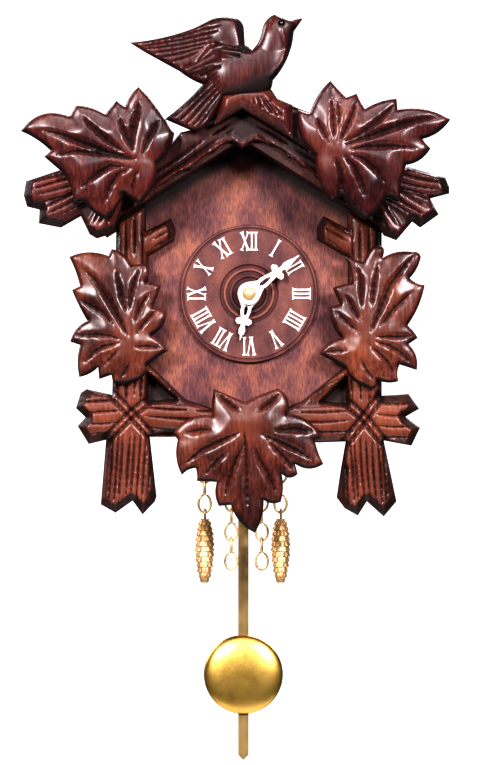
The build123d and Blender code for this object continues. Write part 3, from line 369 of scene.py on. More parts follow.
def noise_node(tree, vector, scale, detail=4.0, rough=0.6):
    node = tree.nodes.new("ShaderNodeTexNoise")
    node.inputs["Scale"].default_value = scale
    node.inputs["Detail"].default_value = detail
    node.inputs["Roughness"].default_value = rough
    tree.links.new(vector, node.inputs["Vector"])
    return node.outputs["Fac"]


def ramp(tree, value, stops):
    node = tree.nodes.new("ShaderNodeValToRGB")
    points = node.color_ramp.elements
    while len(points) > 1:
        points.remove(points[-1])
    points[0].position, points[0].color = stops[0][0], (*stops[0][1], 1)
    for position, colour in stops[1:]:
        point = points.new(position)
        point.color = (*colour, 1)
    tree.links.new(value, node.inputs["Fac"])
    return node.outputs["Color"]


def maths(tree, operation, a, b=None, clamp=False):
    node = tree.nodes.new("ShaderNodeMath")
    node.operation = operation
    node.use_clamp = clamp
    for socket, value in zip(node.inputs, (a, b)):
        if value is None:
            continue
        if hasattr(value, "is_output"):
            tree.links.new(value, socket)
        else:
            socket.default_value = value
    return node.outputs[0]


def mix_colour(tree, share, a, b, blend="MIX"):
    node = tree.nodes.new("ShaderNodeMix")
    node.data_type = "RGBA"
    node.blend_type = blend
    for index, value in ((0, share), (6, a), (7, b)):
        if hasattr(value, "is_output"):
            tree.links.new(value, node.inputs[index])
        else:
            node.inputs[index].default_value = value if index == 0 else (*value, 1)
    return node.outputs[2]


def bump(tree, shader, height, strength, distance=0.0003):
    node = tree.nodes.new("ShaderNodeBump")
    node.inputs["Strength"].default_value = strength
    node.inputs["Distance"].default_value = distance
    tree.links.new(height, node.inputs["Height"])
    tree.links.new(node.outputs["Normal"], shader.inputs["Normal"])


# Painted shadow of the roof's front along the top of the front board, in metres: the roof line's peak (x, z)
# and slope, the depth of full painted shadow below that line, and the depth over which it fades out.
EAVES_PEAK = (-0.002, 0.0093)
EAVES_SLOPE = math.tan(math.radians(32.0))
EAVES_SHADOW_SOLID = 0.0022
EAVES_SHADOW_FADE = 0.0038
EAVES_SHADOW_COLOUR = (0.006, 0.002, 0.002)


def stained_wood(name, dark, middle, light, grain=(1.0, 1.0, 0.12), gloss=0.3, coat=0.5, painted_shading=True,
                 grain_scale=1500.0, blotch=90.0, pore=0.45, eaves_shadow=False):
    """Stained, lacquered wood: streaky grain, blotches and flecks.

    pooled paints shade into cuts, along edges and in pits and paints highlights on ridges, from the mesh's
    stain value; eaves paints a dark shadow band below the roof line.
    """
    material, tree, shader = new_material(name)
    streak = noise_node(tree, stretched(tree, grain), grain_scale, 6.0, 0.65)
    broad = noise_node(tree, stretched(tree, (1, 1, 0.55)), blotch, 3.0, 0.5)
    fine = tuple(share * 0.6 if share < 0.5 else share for share in grain)
    pores = noise_node(tree, stretched(tree, fine), grain_scale * 1.9, 2.0, 0.5)
    value = maths(tree, "ADD", maths(tree, "MULTIPLY", streak, 0.5), maths(tree, "MULTIPLY", broad, 0.5))
    colour = ramp(tree, value, [(0.38, dark), (0.50, middle), (0.62, light)])
    fleck = maths(tree, "MULTIPLY", maths(tree, "SUBTRACT", pores, 0.52, True), 7.0, True)
    colour = mix_colour(tree, maths(tree, "MULTIPLY", fleck, pore), colour, dark)
    if painted_shading:
        stain_and_shading = tree.nodes.new("ShaderNodeAttribute")
        stain_and_shading.attribute_name = "stain_and_shading"
        level = stain_and_shading.outputs["Fac"]
        # Painted shade and painted highlight: a high stain value darkens towards a near-black shade colour, a
        # low one lightens towards a pale highlight colour.
        painted_shade_share = maths(tree, "MULTIPLY", maths(tree, "SUBTRACT", level, 0.5, True), 1.9, True)
        painted_highlight_share = maths(tree, "MULTIPLY", maths(tree, "SUBTRACT", 0.5, level, True), 1.1, True)
        deep = tuple(c * 0.22 for c in dark)
        painted_highlight = tuple(min(1.0, c * 1.55) for c in light)
        colour = mix_colour(tree, painted_highlight_share, colour, painted_highlight)
        colour = mix_colour(tree, painted_shade_share, colour, deep)
    # Painted shadow of the roof's front: a near-black band just below the roof line, fading out further down.
    if eaves_shadow:
        place = tree.nodes.new("ShaderNodeSeparateXYZ")
        tree.links.new(tree.nodes.new("ShaderNodeTexCoord").outputs["Object"], place.inputs[0])
        across = maths(tree, "ABSOLUTE", maths(tree, "ADD", place.outputs["X"], -EAVES_PEAK[0]))
        line = maths(tree, "SUBTRACT", EAVES_PEAK[1], maths(tree, "MULTIPLY", across, EAVES_SLOPE))
        below = maths(tree, "SUBTRACT", line, place.outputs["Z"])
        fade = maths(tree, "DIVIDE", maths(tree, "SUBTRACT", below, EAVES_SHADOW_SOLID, True), EAVES_SHADOW_FADE)
        shade = maths(tree, "SUBTRACT", 1.0, fade, True)
        colour = mix_colour(tree, maths(tree, "MULTIPLY", shade, 0.93), colour, EAVES_SHADOW_COLOUR)
    tree.links.new(colour, shader.inputs["Base Color"])
    rough = maths(tree, "ADD", maths(tree, "MULTIPLY", broad, 0.16), gloss - 0.08)
    shader.inputs["Coat Weight"].default_value = coat
    if painted_shading:
        rough = maths(tree, "ADD", rough, maths(tree, "MULTIPLY", painted_shade_share, 0.4), True)
        dry = maths(tree, "MULTIPLY", maths(tree, "SUBTRACT", 1.0, painted_shade_share), coat)
        tree.links.new(dry, shader.inputs["Coat Weight"])
    tree.links.new(rough, shader.inputs["Roughness"])
    shader.inputs["Coat Roughness"].default_value = 0.24
    shader.inputs["Specular IOR Level"].default_value = 0.4
    bump(tree, shader, streak, 0.12)
    return material


def brushed_metal(name, colour, dark, rough=0.3, scratch=(1, 1, 1), scale=900.0, strength=0.08, metallic=1.0):
    """Satin metal with fine brushing and faint tarnish."""
    material, tree, shader = new_material(name)
    fine = noise_node(tree, stretched(tree, scratch), scale, 4.0, 0.6)
    broad = noise_node(tree, stretched(tree, (1, 1, 1)), 120.0, 3.0, 0.55)
    mixed = maths(tree, "ADD", maths(tree, "MULTIPLY", fine, 0.35), maths(tree, "MULTIPLY", broad, 0.65))
    tree.links.new(ramp(tree, mixed, [(0.32, dark), (0.56, colour)]), shader.inputs["Base Color"])
    roughness = maths(tree, "ADD", maths(tree, "MULTIPLY", mixed, 0.2), rough - 0.1)
    tree.links.new(roughness, shader.inputs["Roughness"])
    shader.inputs["Metallic"].default_value = metallic
    bump(tree, shader, fine, strength, 0.00008)
    return material


def painted(name, colour, shade, rough=0.45):
    """Cast or painted piece with slight mottling and a soft uneven surface."""
    material, tree, shader = new_material(name)
    fine = noise_node(tree, stretched(tree, (1, 1, 1)), 900.0, 4.0, 0.6)
    tree.links.new(ramp(tree, fine, [(0.3, shade), (0.55, colour)]), shader.inputs["Base Color"])
    shader.inputs["Roughness"].default_value = rough
    bump(tree, shader, fine, 0.1, 0.0001)
    return material


CARVED = stained_wood("carved_wood", (0.014, 0.003, 0.004), (0.060, 0.012, 0.012), (0.150, 0.034, 0.020),
                      gloss=0.34, coat=0.25, blotch=70.0, pore=0.3)
WARM = stained_wood("warm_wood", (0.022, 0.006, 0.006), (0.096, 0.024, 0.017), (0.23, 0.068, 0.032),
                    gloss=0.34, coat=0.25, blotch=70.0, pore=0.3)
PANEL = stained_wood("panel_wood", (0.066, 0.022, 0.030), (0.17, 0.058, 0.052), (0.31, 0.115, 0.068),
                     grain=(1, 1, 0.20), gloss=0.45, coat=0.10, painted_shading=False, grain_scale=2200.0, blotch=150.0,
                     pore=0.7, eaves_shadow=True)
CASE = stained_wood("case_wood", (0.016, 0.004, 0.004), (0.050, 0.012, 0.008), (0.11, 0.032, 0.016),
                    grain=(1, 0.12, 1), gloss=0.45, coat=0.15, painted_shading=False)
BACK = stained_wood("back_wood", (0.20, 0.10, 0.045), (0.38, 0.22, 0.11), (0.52, 0.33, 0.18), gloss=0.6,
                    coat=0.0, painted_shading=False)
DIAL_WOOD = stained_wood("dial_wood", (0.060, 0.018, 0.020), (0.135, 0.043, 0.038), (0.22, 0.080, 0.056),
                         grain=(1, 1, 0.6), gloss=0.48, coat=0.06, grain_scale=3600.0, blotch=190.0, pore=0.5)
BRASS = brushed_metal("movement_brass", (0.74, 0.55, 0.22), (0.52, 0.36, 0.13), 0.3, (1, 1, 0.1))
BOB = brushed_metal("bob_brass", (0.86, 0.58, 0.16), (0.62, 0.37, 0.08), 0.36, (1, 1, 1), 2200.0, 0.12)
ROD = brushed_metal("rod_brass", (0.40, 0.28, 0.12), (0.27, 0.18, 0.08), 0.42, (1, 1, 0.05), metallic=0.6)
CHAIN = brushed_metal("chain_brass", (0.86, 0.66, 0.36), (0.60, 0.40, 0.17), 0.40, metallic=0.55)
CONE = brushed_metal("cone_brass", (0.64, 0.42, 0.20), (0.40, 0.23, 0.09), 0.42, metallic=0.6)
STEEL = brushed_metal("steel", (0.60, 0.60, 0.61), (0.40, 0.40, 0.42), 0.3)
BLUED = brushed_metal("spring_steel", (0.16, 0.19, 0.28), (0.08, 0.09, 0.13), 0.3)
NICKEL = brushed_metal("key_steel", (0.78, 0.76, 0.72), (0.58, 0.56, 0.53), 0.22)
WHITE = painted("white_paint", (0.83, 0.80, 0.78), (0.66, 0.62, 0.60), 0.42)
HAND = painted("hand_white", (0.86, 0.82, 0.76), (0.70, 0.62, 0.55), 0.38)
EYE, _, EYE_SHADER = new_material("bead_black")
EYE_SHADER.inputs["Base Color"].default_value = (0.006, 0.005, 0.005, 1)
EYE_SHADER.inputs["Roughness"].default_value = 0.08

NODE_MATERIALS = {
    "front_board": PANEL, "back_panel": BACK, "panel_battens": BACK, "hanger_block": BACK,
    "left_side_wall": CASE, "right_side_wall": CASE, "bottom_board": CASE,
    "roof_left": CASE, "roof_right": CASE,
    "pendulum_rod": ROD, "mainspring": BLUED, "winding_key": NICKEL,
    "case_screws": STEEL, "plate_screws": STEEL, "movement_screws": STEEL, "click_screw": STEEL,
    "winding_arbor": STEEL, "anchor": STEEL, "click": STEEL, "crutch": STEEL,
}
for node_name, node_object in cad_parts.items():
    node_object.data.materials.clear()
    node_object.data.materials.append(NODE_MATERIALS.get(node_name, BRASS))


# ------------------------------------------------------------------ carved leaves
# Corners and gouges are measured from the centre, where the veins meet. A gouge is (half width, depth, path).
LEAF_SHAPES = {
    "roof_leaf_left": dict(centre=(-31.3, 2.5), back=65.0, bulk=7.0, corners=[
        (-33.2, 8.4, 2.7), (-19.4, 12.5), (-17.7, 15.5, 0.6), (-9.3, 13.2), (-6.2, 16.9),
        (-3.7, 15.2, 0.6), (0.1, 20.8, 0.4), (7.0, 12.4), (10.1, 7.9, 1.0), (5.4, -0.8, 1.3),
        (0.3, -12.4), (-4.2, -9.3, 0.5), (-9.0, -16.6, 0.6), (-15.8, -11.3), (-18.6, -12.4, -1.2),
        (-22.2, -2.7), (-26.6, 1.1), (-24.8, 2.8, -0.5),
    ], gouges=[
        (1.3, 1.9, [(-0.8, 0.0), (-10.7, 2.8), (-22.0, 7.3), (-27.2, 8.6)]),
        (1.0, 1.5, [(-3.9, 2.0), (-7.9, 4.8), (-13.2, 9.6), (-16.3, 12.8)]),
        (0.9, 1.5, [(-1.4, 2.3), (-2.8, 5.6), (-4.5, 9.0), (-5.6, 12.9)]),
        (1.2, 1.9, [(-1.7, 2.8), (-2.0, 7.0), (-1.1, 11.3), (0.3, 17.0)]),
        (1.0, 1.4, [(1.4, 1.4), (2.8, 5.6), (4.8, 9.3), (6.2, 11.4)]),
        (0.9, 1.5, [(-2.3, 0.0), (-7.9, 1.4), (-17.7, 2.5), (-23.4, 1.4)]),
        (1.0, 1.6, [(-3.7, -2.0), (-7.9, -1.7), (-11.5, -3.8), (-16.3, -7.8)]),
        (1.0, 1.6, [(-2.3, -2.3), (-5.6, -3.9), (-8.0, -7.5), (-9.6, -12.5)]),
        (0.8, 1.2, [(0.3, -2.3), (-0.8, -4.5), (-1.7, -7.3), (-2.0, -9.4)]),
    ]),
    "roof_leaf_right": dict(centre=(23.6, 5.9), back=65.0, bulk=7.0, corners=[
        (-6.5, 9.9, 0.8), (-0.6, 19.2), (3.8, 14.5), (6.8, 15.5, -0.2), (9.3, 11.3, 0.6),
        (18.0, 14.1), (18.3, 11.0, 1.5), (33.2, 8.2, 1.0), (25.2, 2.8), (27.6, 0.0, 1.0),
        (20.8, -4.5, -0.4), (18.9, -14.6), (15.5, -13.5, 0.7), (9.3, -20.0, 0.8), (2.7, -13.2),
        (-0.3, -15.5, 1.2), (-4.8, -2.3, 1.9), (-9.9, 11.0),
    ], gouges=[
        (0.8, 1.5, [(-0.5, 14.6), (0.0, 9.3), (0.4, 2.3)]),
        (0.7, 1.1, [(1.4, 13.5), (1.7, 9.3), (1.4, 5.6)]),
        (0.8, 1.4, [(6.8, 13.4), (4.8, 7.9), (2.8, 3.7), (1.7, 1.4)]),
        (0.9, 1.4, [(-4.8, 8.4), (-3.1, 5.1), (-1.4, 1.4)]),
        (1.0, 1.6, [(3.4, 1.7), (7.6, 3.7), (12.4, 7.5), (17.5, 12.1)]),
        (1.3, 1.9, [(3.4, 0.8), (9.0, 2.8), (20.1, 6.9), (29.0, 9.0)]),
        (1.0, 1.5, [(4.8, -0.6), (9.0, 0.3), (17.3, 0.5), (24.0, 0.0)]),
        (1.0, 1.5, [(4.8, -2.0), (8.2, -2.8), (12.0, -6.0), (15.0, -10.3)]),
        (1.1, 1.6, [(3.4, -2.5), (5.9, -5.0), (8.0, -10.0), (9.3, -14.6)]),
        (1.0, 1.5, [(0.6, -2.5), (1.7, -5.6), (2.3, -9.0), (2.5, -12.0)]),
    ]),
    "side_leaf_left": dict(centre=(-33.9, -47.4), back=50.0, bulk=5.0, corners=[
        (-17.8, 23.3, 1.2), (-6.6, 23.6), (-5.7, 25.6, 1.0), (0.0, 21.0), (4.3, 21.3, 0.9),
        (4.2, 16.1), (8.6, 15.2), (6.3, 8.9), (10.1, 7.5, 1.2), (6.0, 0.9, 0.4),
        (10.6, -3.7, -0.2), (4.6, -7.8, 1.1), (1.1, -12.4, 0.5), (-5.2, -12.9), (-5.7, -10.6),
        (-9.2, -11.8), (-9.5, -8.3, 0.5), (-14.9, -11.2, 0.6), (-14.7, -2.0), (-17.5, -1.1, 1.0),
        (-12.6, 4.9, 0.2), (-17.0, 13.8), (-14.7, 14.9, -0.3),
    ], gouges=[
        (1.1, 1.6, [(-0.9, 0.6), (-6.0, 10.1), (-10.3, 16.5), (-13.6, 19.8)]),
        (0.8, 1.3, [(-4.3, 20.0), (-3.4, 15.2), (-2.6, 10.9), (-1.1, 6.6)]),
        (0.8, 1.3, [(2.6, 20.4), (1.1, 16.1), (0.0, 12.4), (-0.6, 7.5)]),
        (0.8, 1.2, [(5.4, 12.9), (3.4, 10.1), (1.7, 6.6), (0.9, 3.7)]),
        (0.8, 1.2, [(7.3, 8.2), (4.9, 5.7), (3.2, 3.4), (1.7, 1.1)]),
        (0.8, 1.3, [(0.9, -2.6), (4.0, -2.3), (6.9, -2.6), (8.9, -2.9)]),
        (0.9, 1.4, [(-15.4, 11.2), (-11.8, 9.5), (-8.0, 7.2), (-5.2, 3.7)]),
        (0.8, 1.2, [(-16.1, 0.6), (-10.3, 1.1), (-6.0, 0.6), (-2.6, -0.6)]),
        (0.9, 1.4, [(-13.6, -7.0), (-10.3, -3.7), (-7.5, -2.3), (-3.2, -1.4)]),
        (0.7, 1.0, [(-7.5, -7.8), (-5.5, -5.2), (-3.7, -3.2)]),
        (0.7, 1.1, [(-2.9, -11.6), (-1.7, -9.8), (-0.3, -6.6)]),
    ]),
    "side_leaf_right": dict(centre=(32.7, -47.4), back=50.0, bulk=5.0, corners=[
        (5.7, 23.0, 0.9), (14.4, 24.7, 0.6), (16.7, 23.3, 0.5), (13.5, 17.2, -0.4), (17.8, 15.2, 0.7),
        (12.9, 3.7, 0.2), (15.8, 0.0), (13.2, -1.7, 1.0), (15.5, -9.2), (10.6, -7.6, -0.5),
        (10.3, -12.4, 0.6), (4.3, -12.1, 1.8), (0.6, -13.8, 1.1), (-4.9, -8.6), (-12.4, -4.6, 1.2),
        (-6.0, -0.1, 1.0), (-9.5, 8.9), (-6.6, 9.8), (-8.6, 14.4, 0.2), (-3.2, 15.8, -0.7),
        (-5.5, 23.6), (0.0, 21.8), (2.6, 26.2, 2.2),
    ], gouges=[
        (1.1, 1.6, [(14.8, 24.0), (7.8, 15.2), (4.0, 5.7), (2.3, 1.4)]),
        (0.8, 1.3, [(4.3, 21.6), (3.4, 16.7), (2.9, 12.4), (2.6, 8.6)]),
        (0.8, 1.3, [(-1.6, 21.0), (-0.8, 16.7), (-0.3, 8.0)]),
        (0.8, 1.2, [(-5.0, 12.3), (-3.2, 8.9), (-0.6, 4.6)]),
        (0.8, 1.2, [(-7.8, 7.6), (-5.2, 5.2), (-1.7, 1.7)]),
        (0.7, 1.1, [(-11.0, -4.3), (-8.0, -3.7), (-4.3, -3.7)]),
        (1.0, 1.4, [(14.3, 13.4), (9.2, 8.6), (4.9, 3.2)]),
        (0.8, 1.2, [(14.4, 0.6), (10.6, 0.3), (3.4, 0.3)]),
        (0.9, 1.4, [(14.2, -7.6), (10.6, -4.0), (7.2, -2.0), (3.4, -1.1)]),
        (0.8, 1.2, [(9.5, -11.0), (7.2, -6.9), (2.0, -2.0)]),
        (0.8, 1.1, [(3.2, -12.0), (1.4, -9.8), (-0.9, -6.0)]),
    ]),
    "bottom_leaf": dict(centre=(-1.5, -72.4), back=50.0, bulk=5.5, corners=[
        (-8.6, 10.3), (0.3, 6.6, 0.2), (9.8, 10.5, 1.6), (12.4, 3.2, 1.8), (22.4, -3.7),
        (20.4, -4.3, -0.3), (22.9, -11.2, 1.4), (14.7, -11.2), (15.5, -14.1, 1.1), (10.9, -14.1, 0.5),
        (10.6, -22.1, 0.7), (5.7, -21.6, 0.7), (3.2, -31.0, 1.2), (-3.7, -23.0), (-7.2, -23.3, 0.7),
        (-7.8, -16.4), (-13.5, -16.1, -0.2), (-13.8, -12.4, -0.5), (-17.8, -14.4, 1.0), (-19.0, -4.3),
        (-20.3, -2.3, 2.0), (-9.2, 2.6, 0.3),
    ], gouges=[
        (0.9, 1.4, [(-7.8, 9.2), (-5.2, 6.9), (-0.9, 3.7)]),
        (0.9, 1.4, [(10.3, 9.0), (7.5, 6.3), (3.4, 3.7)]),
        (1.1, 1.5, [(-16.8, -2.2), (-12.6, -1.4), (-9.2, -1.4)]),
        (1.1, 1.5, [(8.9, -1.7), (14.7, -1.1), (20.0, -1.9)]),
        (1.0, 1.6, [(-1.1, -2.0), (-5.8, -4.2), (-12.1, -7.2), (-17.5, -11.6)]),
        (1.0, 1.6, [(5.2, -2.6), (11.8, -5.7), (16.1, -7.8), (19.9, -10.3)]),
        (0.9, 1.3, [(-4.6, -7.5), (-7.5, -10.1), (-11.8, -14.8)]),
        (0.9, 1.3, [(6.9, -4.3), (11.8, -9.5), (14.7, -13.3)]),
        (1.0, 1.6, [(-0.3, -5.7), (-2.0, -9.5), (-3.6, -13.5), (-5.7, -21.0)]),
        (1.0, 1.6, [(3.4, -6.3), (4.6, -10.1), (6.9, -13.8), (9.5, -20.0)]),
        (0.8, 1.2, [(0.0, -1.4), (0.6, -7.2), (0.9, -12.9), (0.9, -24.5)]),
    ]),
}


def leaf_height(centre, bulk, wall):
    """Height rule of a carved leaf: a crown falling to the tips, soft lobes between cuts, a short rim."""
    def height(points, rim, edge_gap, cut, near):
        away = np.sqrt(((points - np.array(centre)) ** 2).sum(1))
        room = bulk - wall
        slope = 0.16 * room * rim ** 0.7
        lobe = 0.42 * room * np.clip(edge_gap / 5.5, 0, 1)
        puff = 0.10 * room * (1 - np.exp(-(near / 3.0) ** 2))
        middle = 0.26 * room * np.exp(-(away / 12.0) ** 2)
        tall = wall + slope + lobe + puff + middle - cut
        # Painted shade in the cuts and along the rim, and a painted highlight round the leaf's middle where no
        # cut runs.
        painted_shading = 1.1 * np.clip(cut / 0.8 - 0.1, 0, 1)
        painted_highlight = 0.20 * np.exp(-(away / 7.0) ** 2) * (cut < 0.1)
        stain_and_shading = 0.48 + painted_shading + 0.26 * (1 - rim) - painted_highlight
        return tall, np.clip(stain_and_shading, 0, 1)
    return height


LEAF_WALL = 0.34
LEAF_CUT_WIDTH = 0.66
LEAF_BEVEL = 0.5
LEAF_UNDER = 0.7
LEAF_ROUNDS = 5
for leaf_name, leaf in LEAF_SHAPES.items():
    leaf_wall = leaf["bulk"] * LEAF_WALL
    cuts = [(half * LEAF_CUT_WIDTH, deep, path) for half, deep, path in leaf["gouges"]]
    wood = CARVED if leaf_name.startswith("roof") else WARM
    piece = relief(leaf_name + "_carving", leaf["corners"], leaf["centre"], leaf["back"],
                   leaf_height(leaf["centre"], leaf["bulk"], leaf_wall), wood, cuts, bevel=LEAF_BEVEL,
                   wall=leaf_wall, rounds=LEAF_ROUNDS, under=LEAF_UNDER)
    belongs(piece, "case", leaf_name)


# ------------------------------------------------------------------ bark branches
STROKE_HALF_WIDTH = (0.40, 0.62)
STROKE_DEPTH = (0.7, 1.1)
STROKE_RUN = (9.0, 24.0)
CLOSE_ROWS = 2.0


def bark_strokes(branches, seed):
    """Seeded lens-shaped cuts along each branch (start, end, half width of the branch, spacing of the cuts).

    Cuts in rows closer than CLOSE_ROWS run twice as far.
    """
    rng = random.Random(seed)
    strokes = []
    for (x0, z0), (x1, z1), wide, spacing in branches:
        length = math.hypot(x1 - x0, z1 - z0)
        ux, uz = (x1 - x0) / length, (z1 - z0) / length
        rows = max(2, round(wide * 2 / spacing))
        for row in range(rows):
            across = (row + 0.5) / rows * 2 * wide - wide
            along = rng.uniform(0.0, 1.6)
            while along < length - 2.5:
                run = min(rng.uniform(*STROKE_RUN) * (2.0 if spacing < CLOSE_ROWS else 1.0), length - along)
                side = across + rng.uniform(-0.25, 0.25)
                bend = rng.uniform(-0.35, 0.35)
                start = (x0 + ux * along - uz * side, z0 + uz * along + ux * side)
                middle = (x0 + ux * (along + run / 2) - uz * (side + bend),
                          z0 + uz * (along + run / 2) + ux * (side + bend))
                end = (x0 + ux * (along + run) - uz * side, z0 + uz * (along + run) + ux * side)
                half, deep = rng.uniform(*STROKE_HALF_WIDTH), rng.uniform(*STROKE_DEPTH)
                strokes.append((half, deep, [start, middle, end]))
                along += run + rng.uniform(0.6, 2.4)
    return strokes


def polygon_gap(points, polygon):
    """Distance to a polygon's edges, negative inside it."""
    loop = np.array(polygon, float)
    gap = segment_distances(points, loop, np.roll(loop, -1, axis=0)).min(1)
    return np.where(inside(points, loop), -gap, gap)


def branch_height(bulk, wall, branches, pits, crosses, darker):
    """Height rule of bark branches: round across, cut by strokes, with pits and crossing raised lines."""
    starts = np.array([b[0] for b in branches], float)
    ends = np.array([b[1] for b in branches], float)
    wides = np.array([b[2] for b in branches], float)

    def height(points, rim, edge_gap, cut, near):
        share = segment_distances(points, starts, ends) / wides[None]
        round_top = np.sqrt(np.clip(1 - np.minimum(share.min(1), 1.0) ** 2, 0, 1))
        room = bulk - wall
        shoulder = np.clip(edge_gap / 1.0, 0, 1) ** 0.6
        tall = wall + room * (0.68 + 0.32 * round_top) * np.minimum(shoulder, 0.15 + 0.85 * rim) - cut
        # Painted shade in the strokes and on the rim and walls, and a painted highlight along the round tops;
        # darker is the piece's own tone.
        stain_and_shading = 0.52 + darker + 0.6 * np.clip(cut / 0.6, 0, 1) - 0.34 * round_top
        stain_and_shading = np.where(rim < 0.97, np.maximum(stain_and_shading, 0.9), stain_and_shading)
        for path in crosses:
            line, _ = gouge_samples(path, 0.3)
            gap = np.sqrt(((points[:, None] - line[None]) ** 2).sum(2)).min(1)
            groove = np.exp(-((gap - 0.95) / 0.42) ** 2)
            ridge = np.exp(-(gap / 0.5) ** 2)
            tall = np.where(gap < 1.4, tall + cut * 0.9, tall) - 1.25 * groove - 0.25 * ridge
            # Painted shade in the grooves beside each crossing line, and a painted highlight on the line
            # itself.
            stain_and_shading = stain_and_shading + 0.55 * groove - 0.15 * ridge
        for pit in pits:
            gap = polygon_gap(points, pit)
            fall = smoothstep((gap + 0.2) / 0.7)
            tall = tall * fall + 0.35 * (1 - fall)
            # Painted shade in the pits.
            stain_and_shading = np.where(fall < 0.9, np.maximum(stain_and_shading, 0.92), stain_and_shading)
        return tall, np.clip(stain_and_shading, 0, 1)
    return height


def fascia_height(points, rim, edge_gap, cut, near):
    """Bark fascia: a streaked face painted dark as shade, with a raised lip that follows the scalloped lower
    edge and carries a painted highlight.
    """
    starts, ends = np.array(FASCIA_LIP[:-1], float), np.array(FASCIA_LIP[1:], float)
    lip = segment_distances(points, starts, ends).min(1)
    ridge = np.exp(-((lip - 0.9) / 0.55) ** 2)
    tall = 2.05 + 0.35 * np.clip(edge_gap / 3.0, 0, 1) + 0.75 * ridge - cut
    warm = np.exp(-((points[:, 0] + 18.0) / 9.0) ** 2)
    # Painted shade over the whole face and in the cuts, a painted highlight along the lip, and lighter towards
    # the left.
    stain_and_shading = 0.84 - 0.42 * ridge - 0.34 * warm + 0.5 * np.clip(cut / 0.6, 0, 1)
    return tall, np.clip(stain_and_shading, 0, 1)


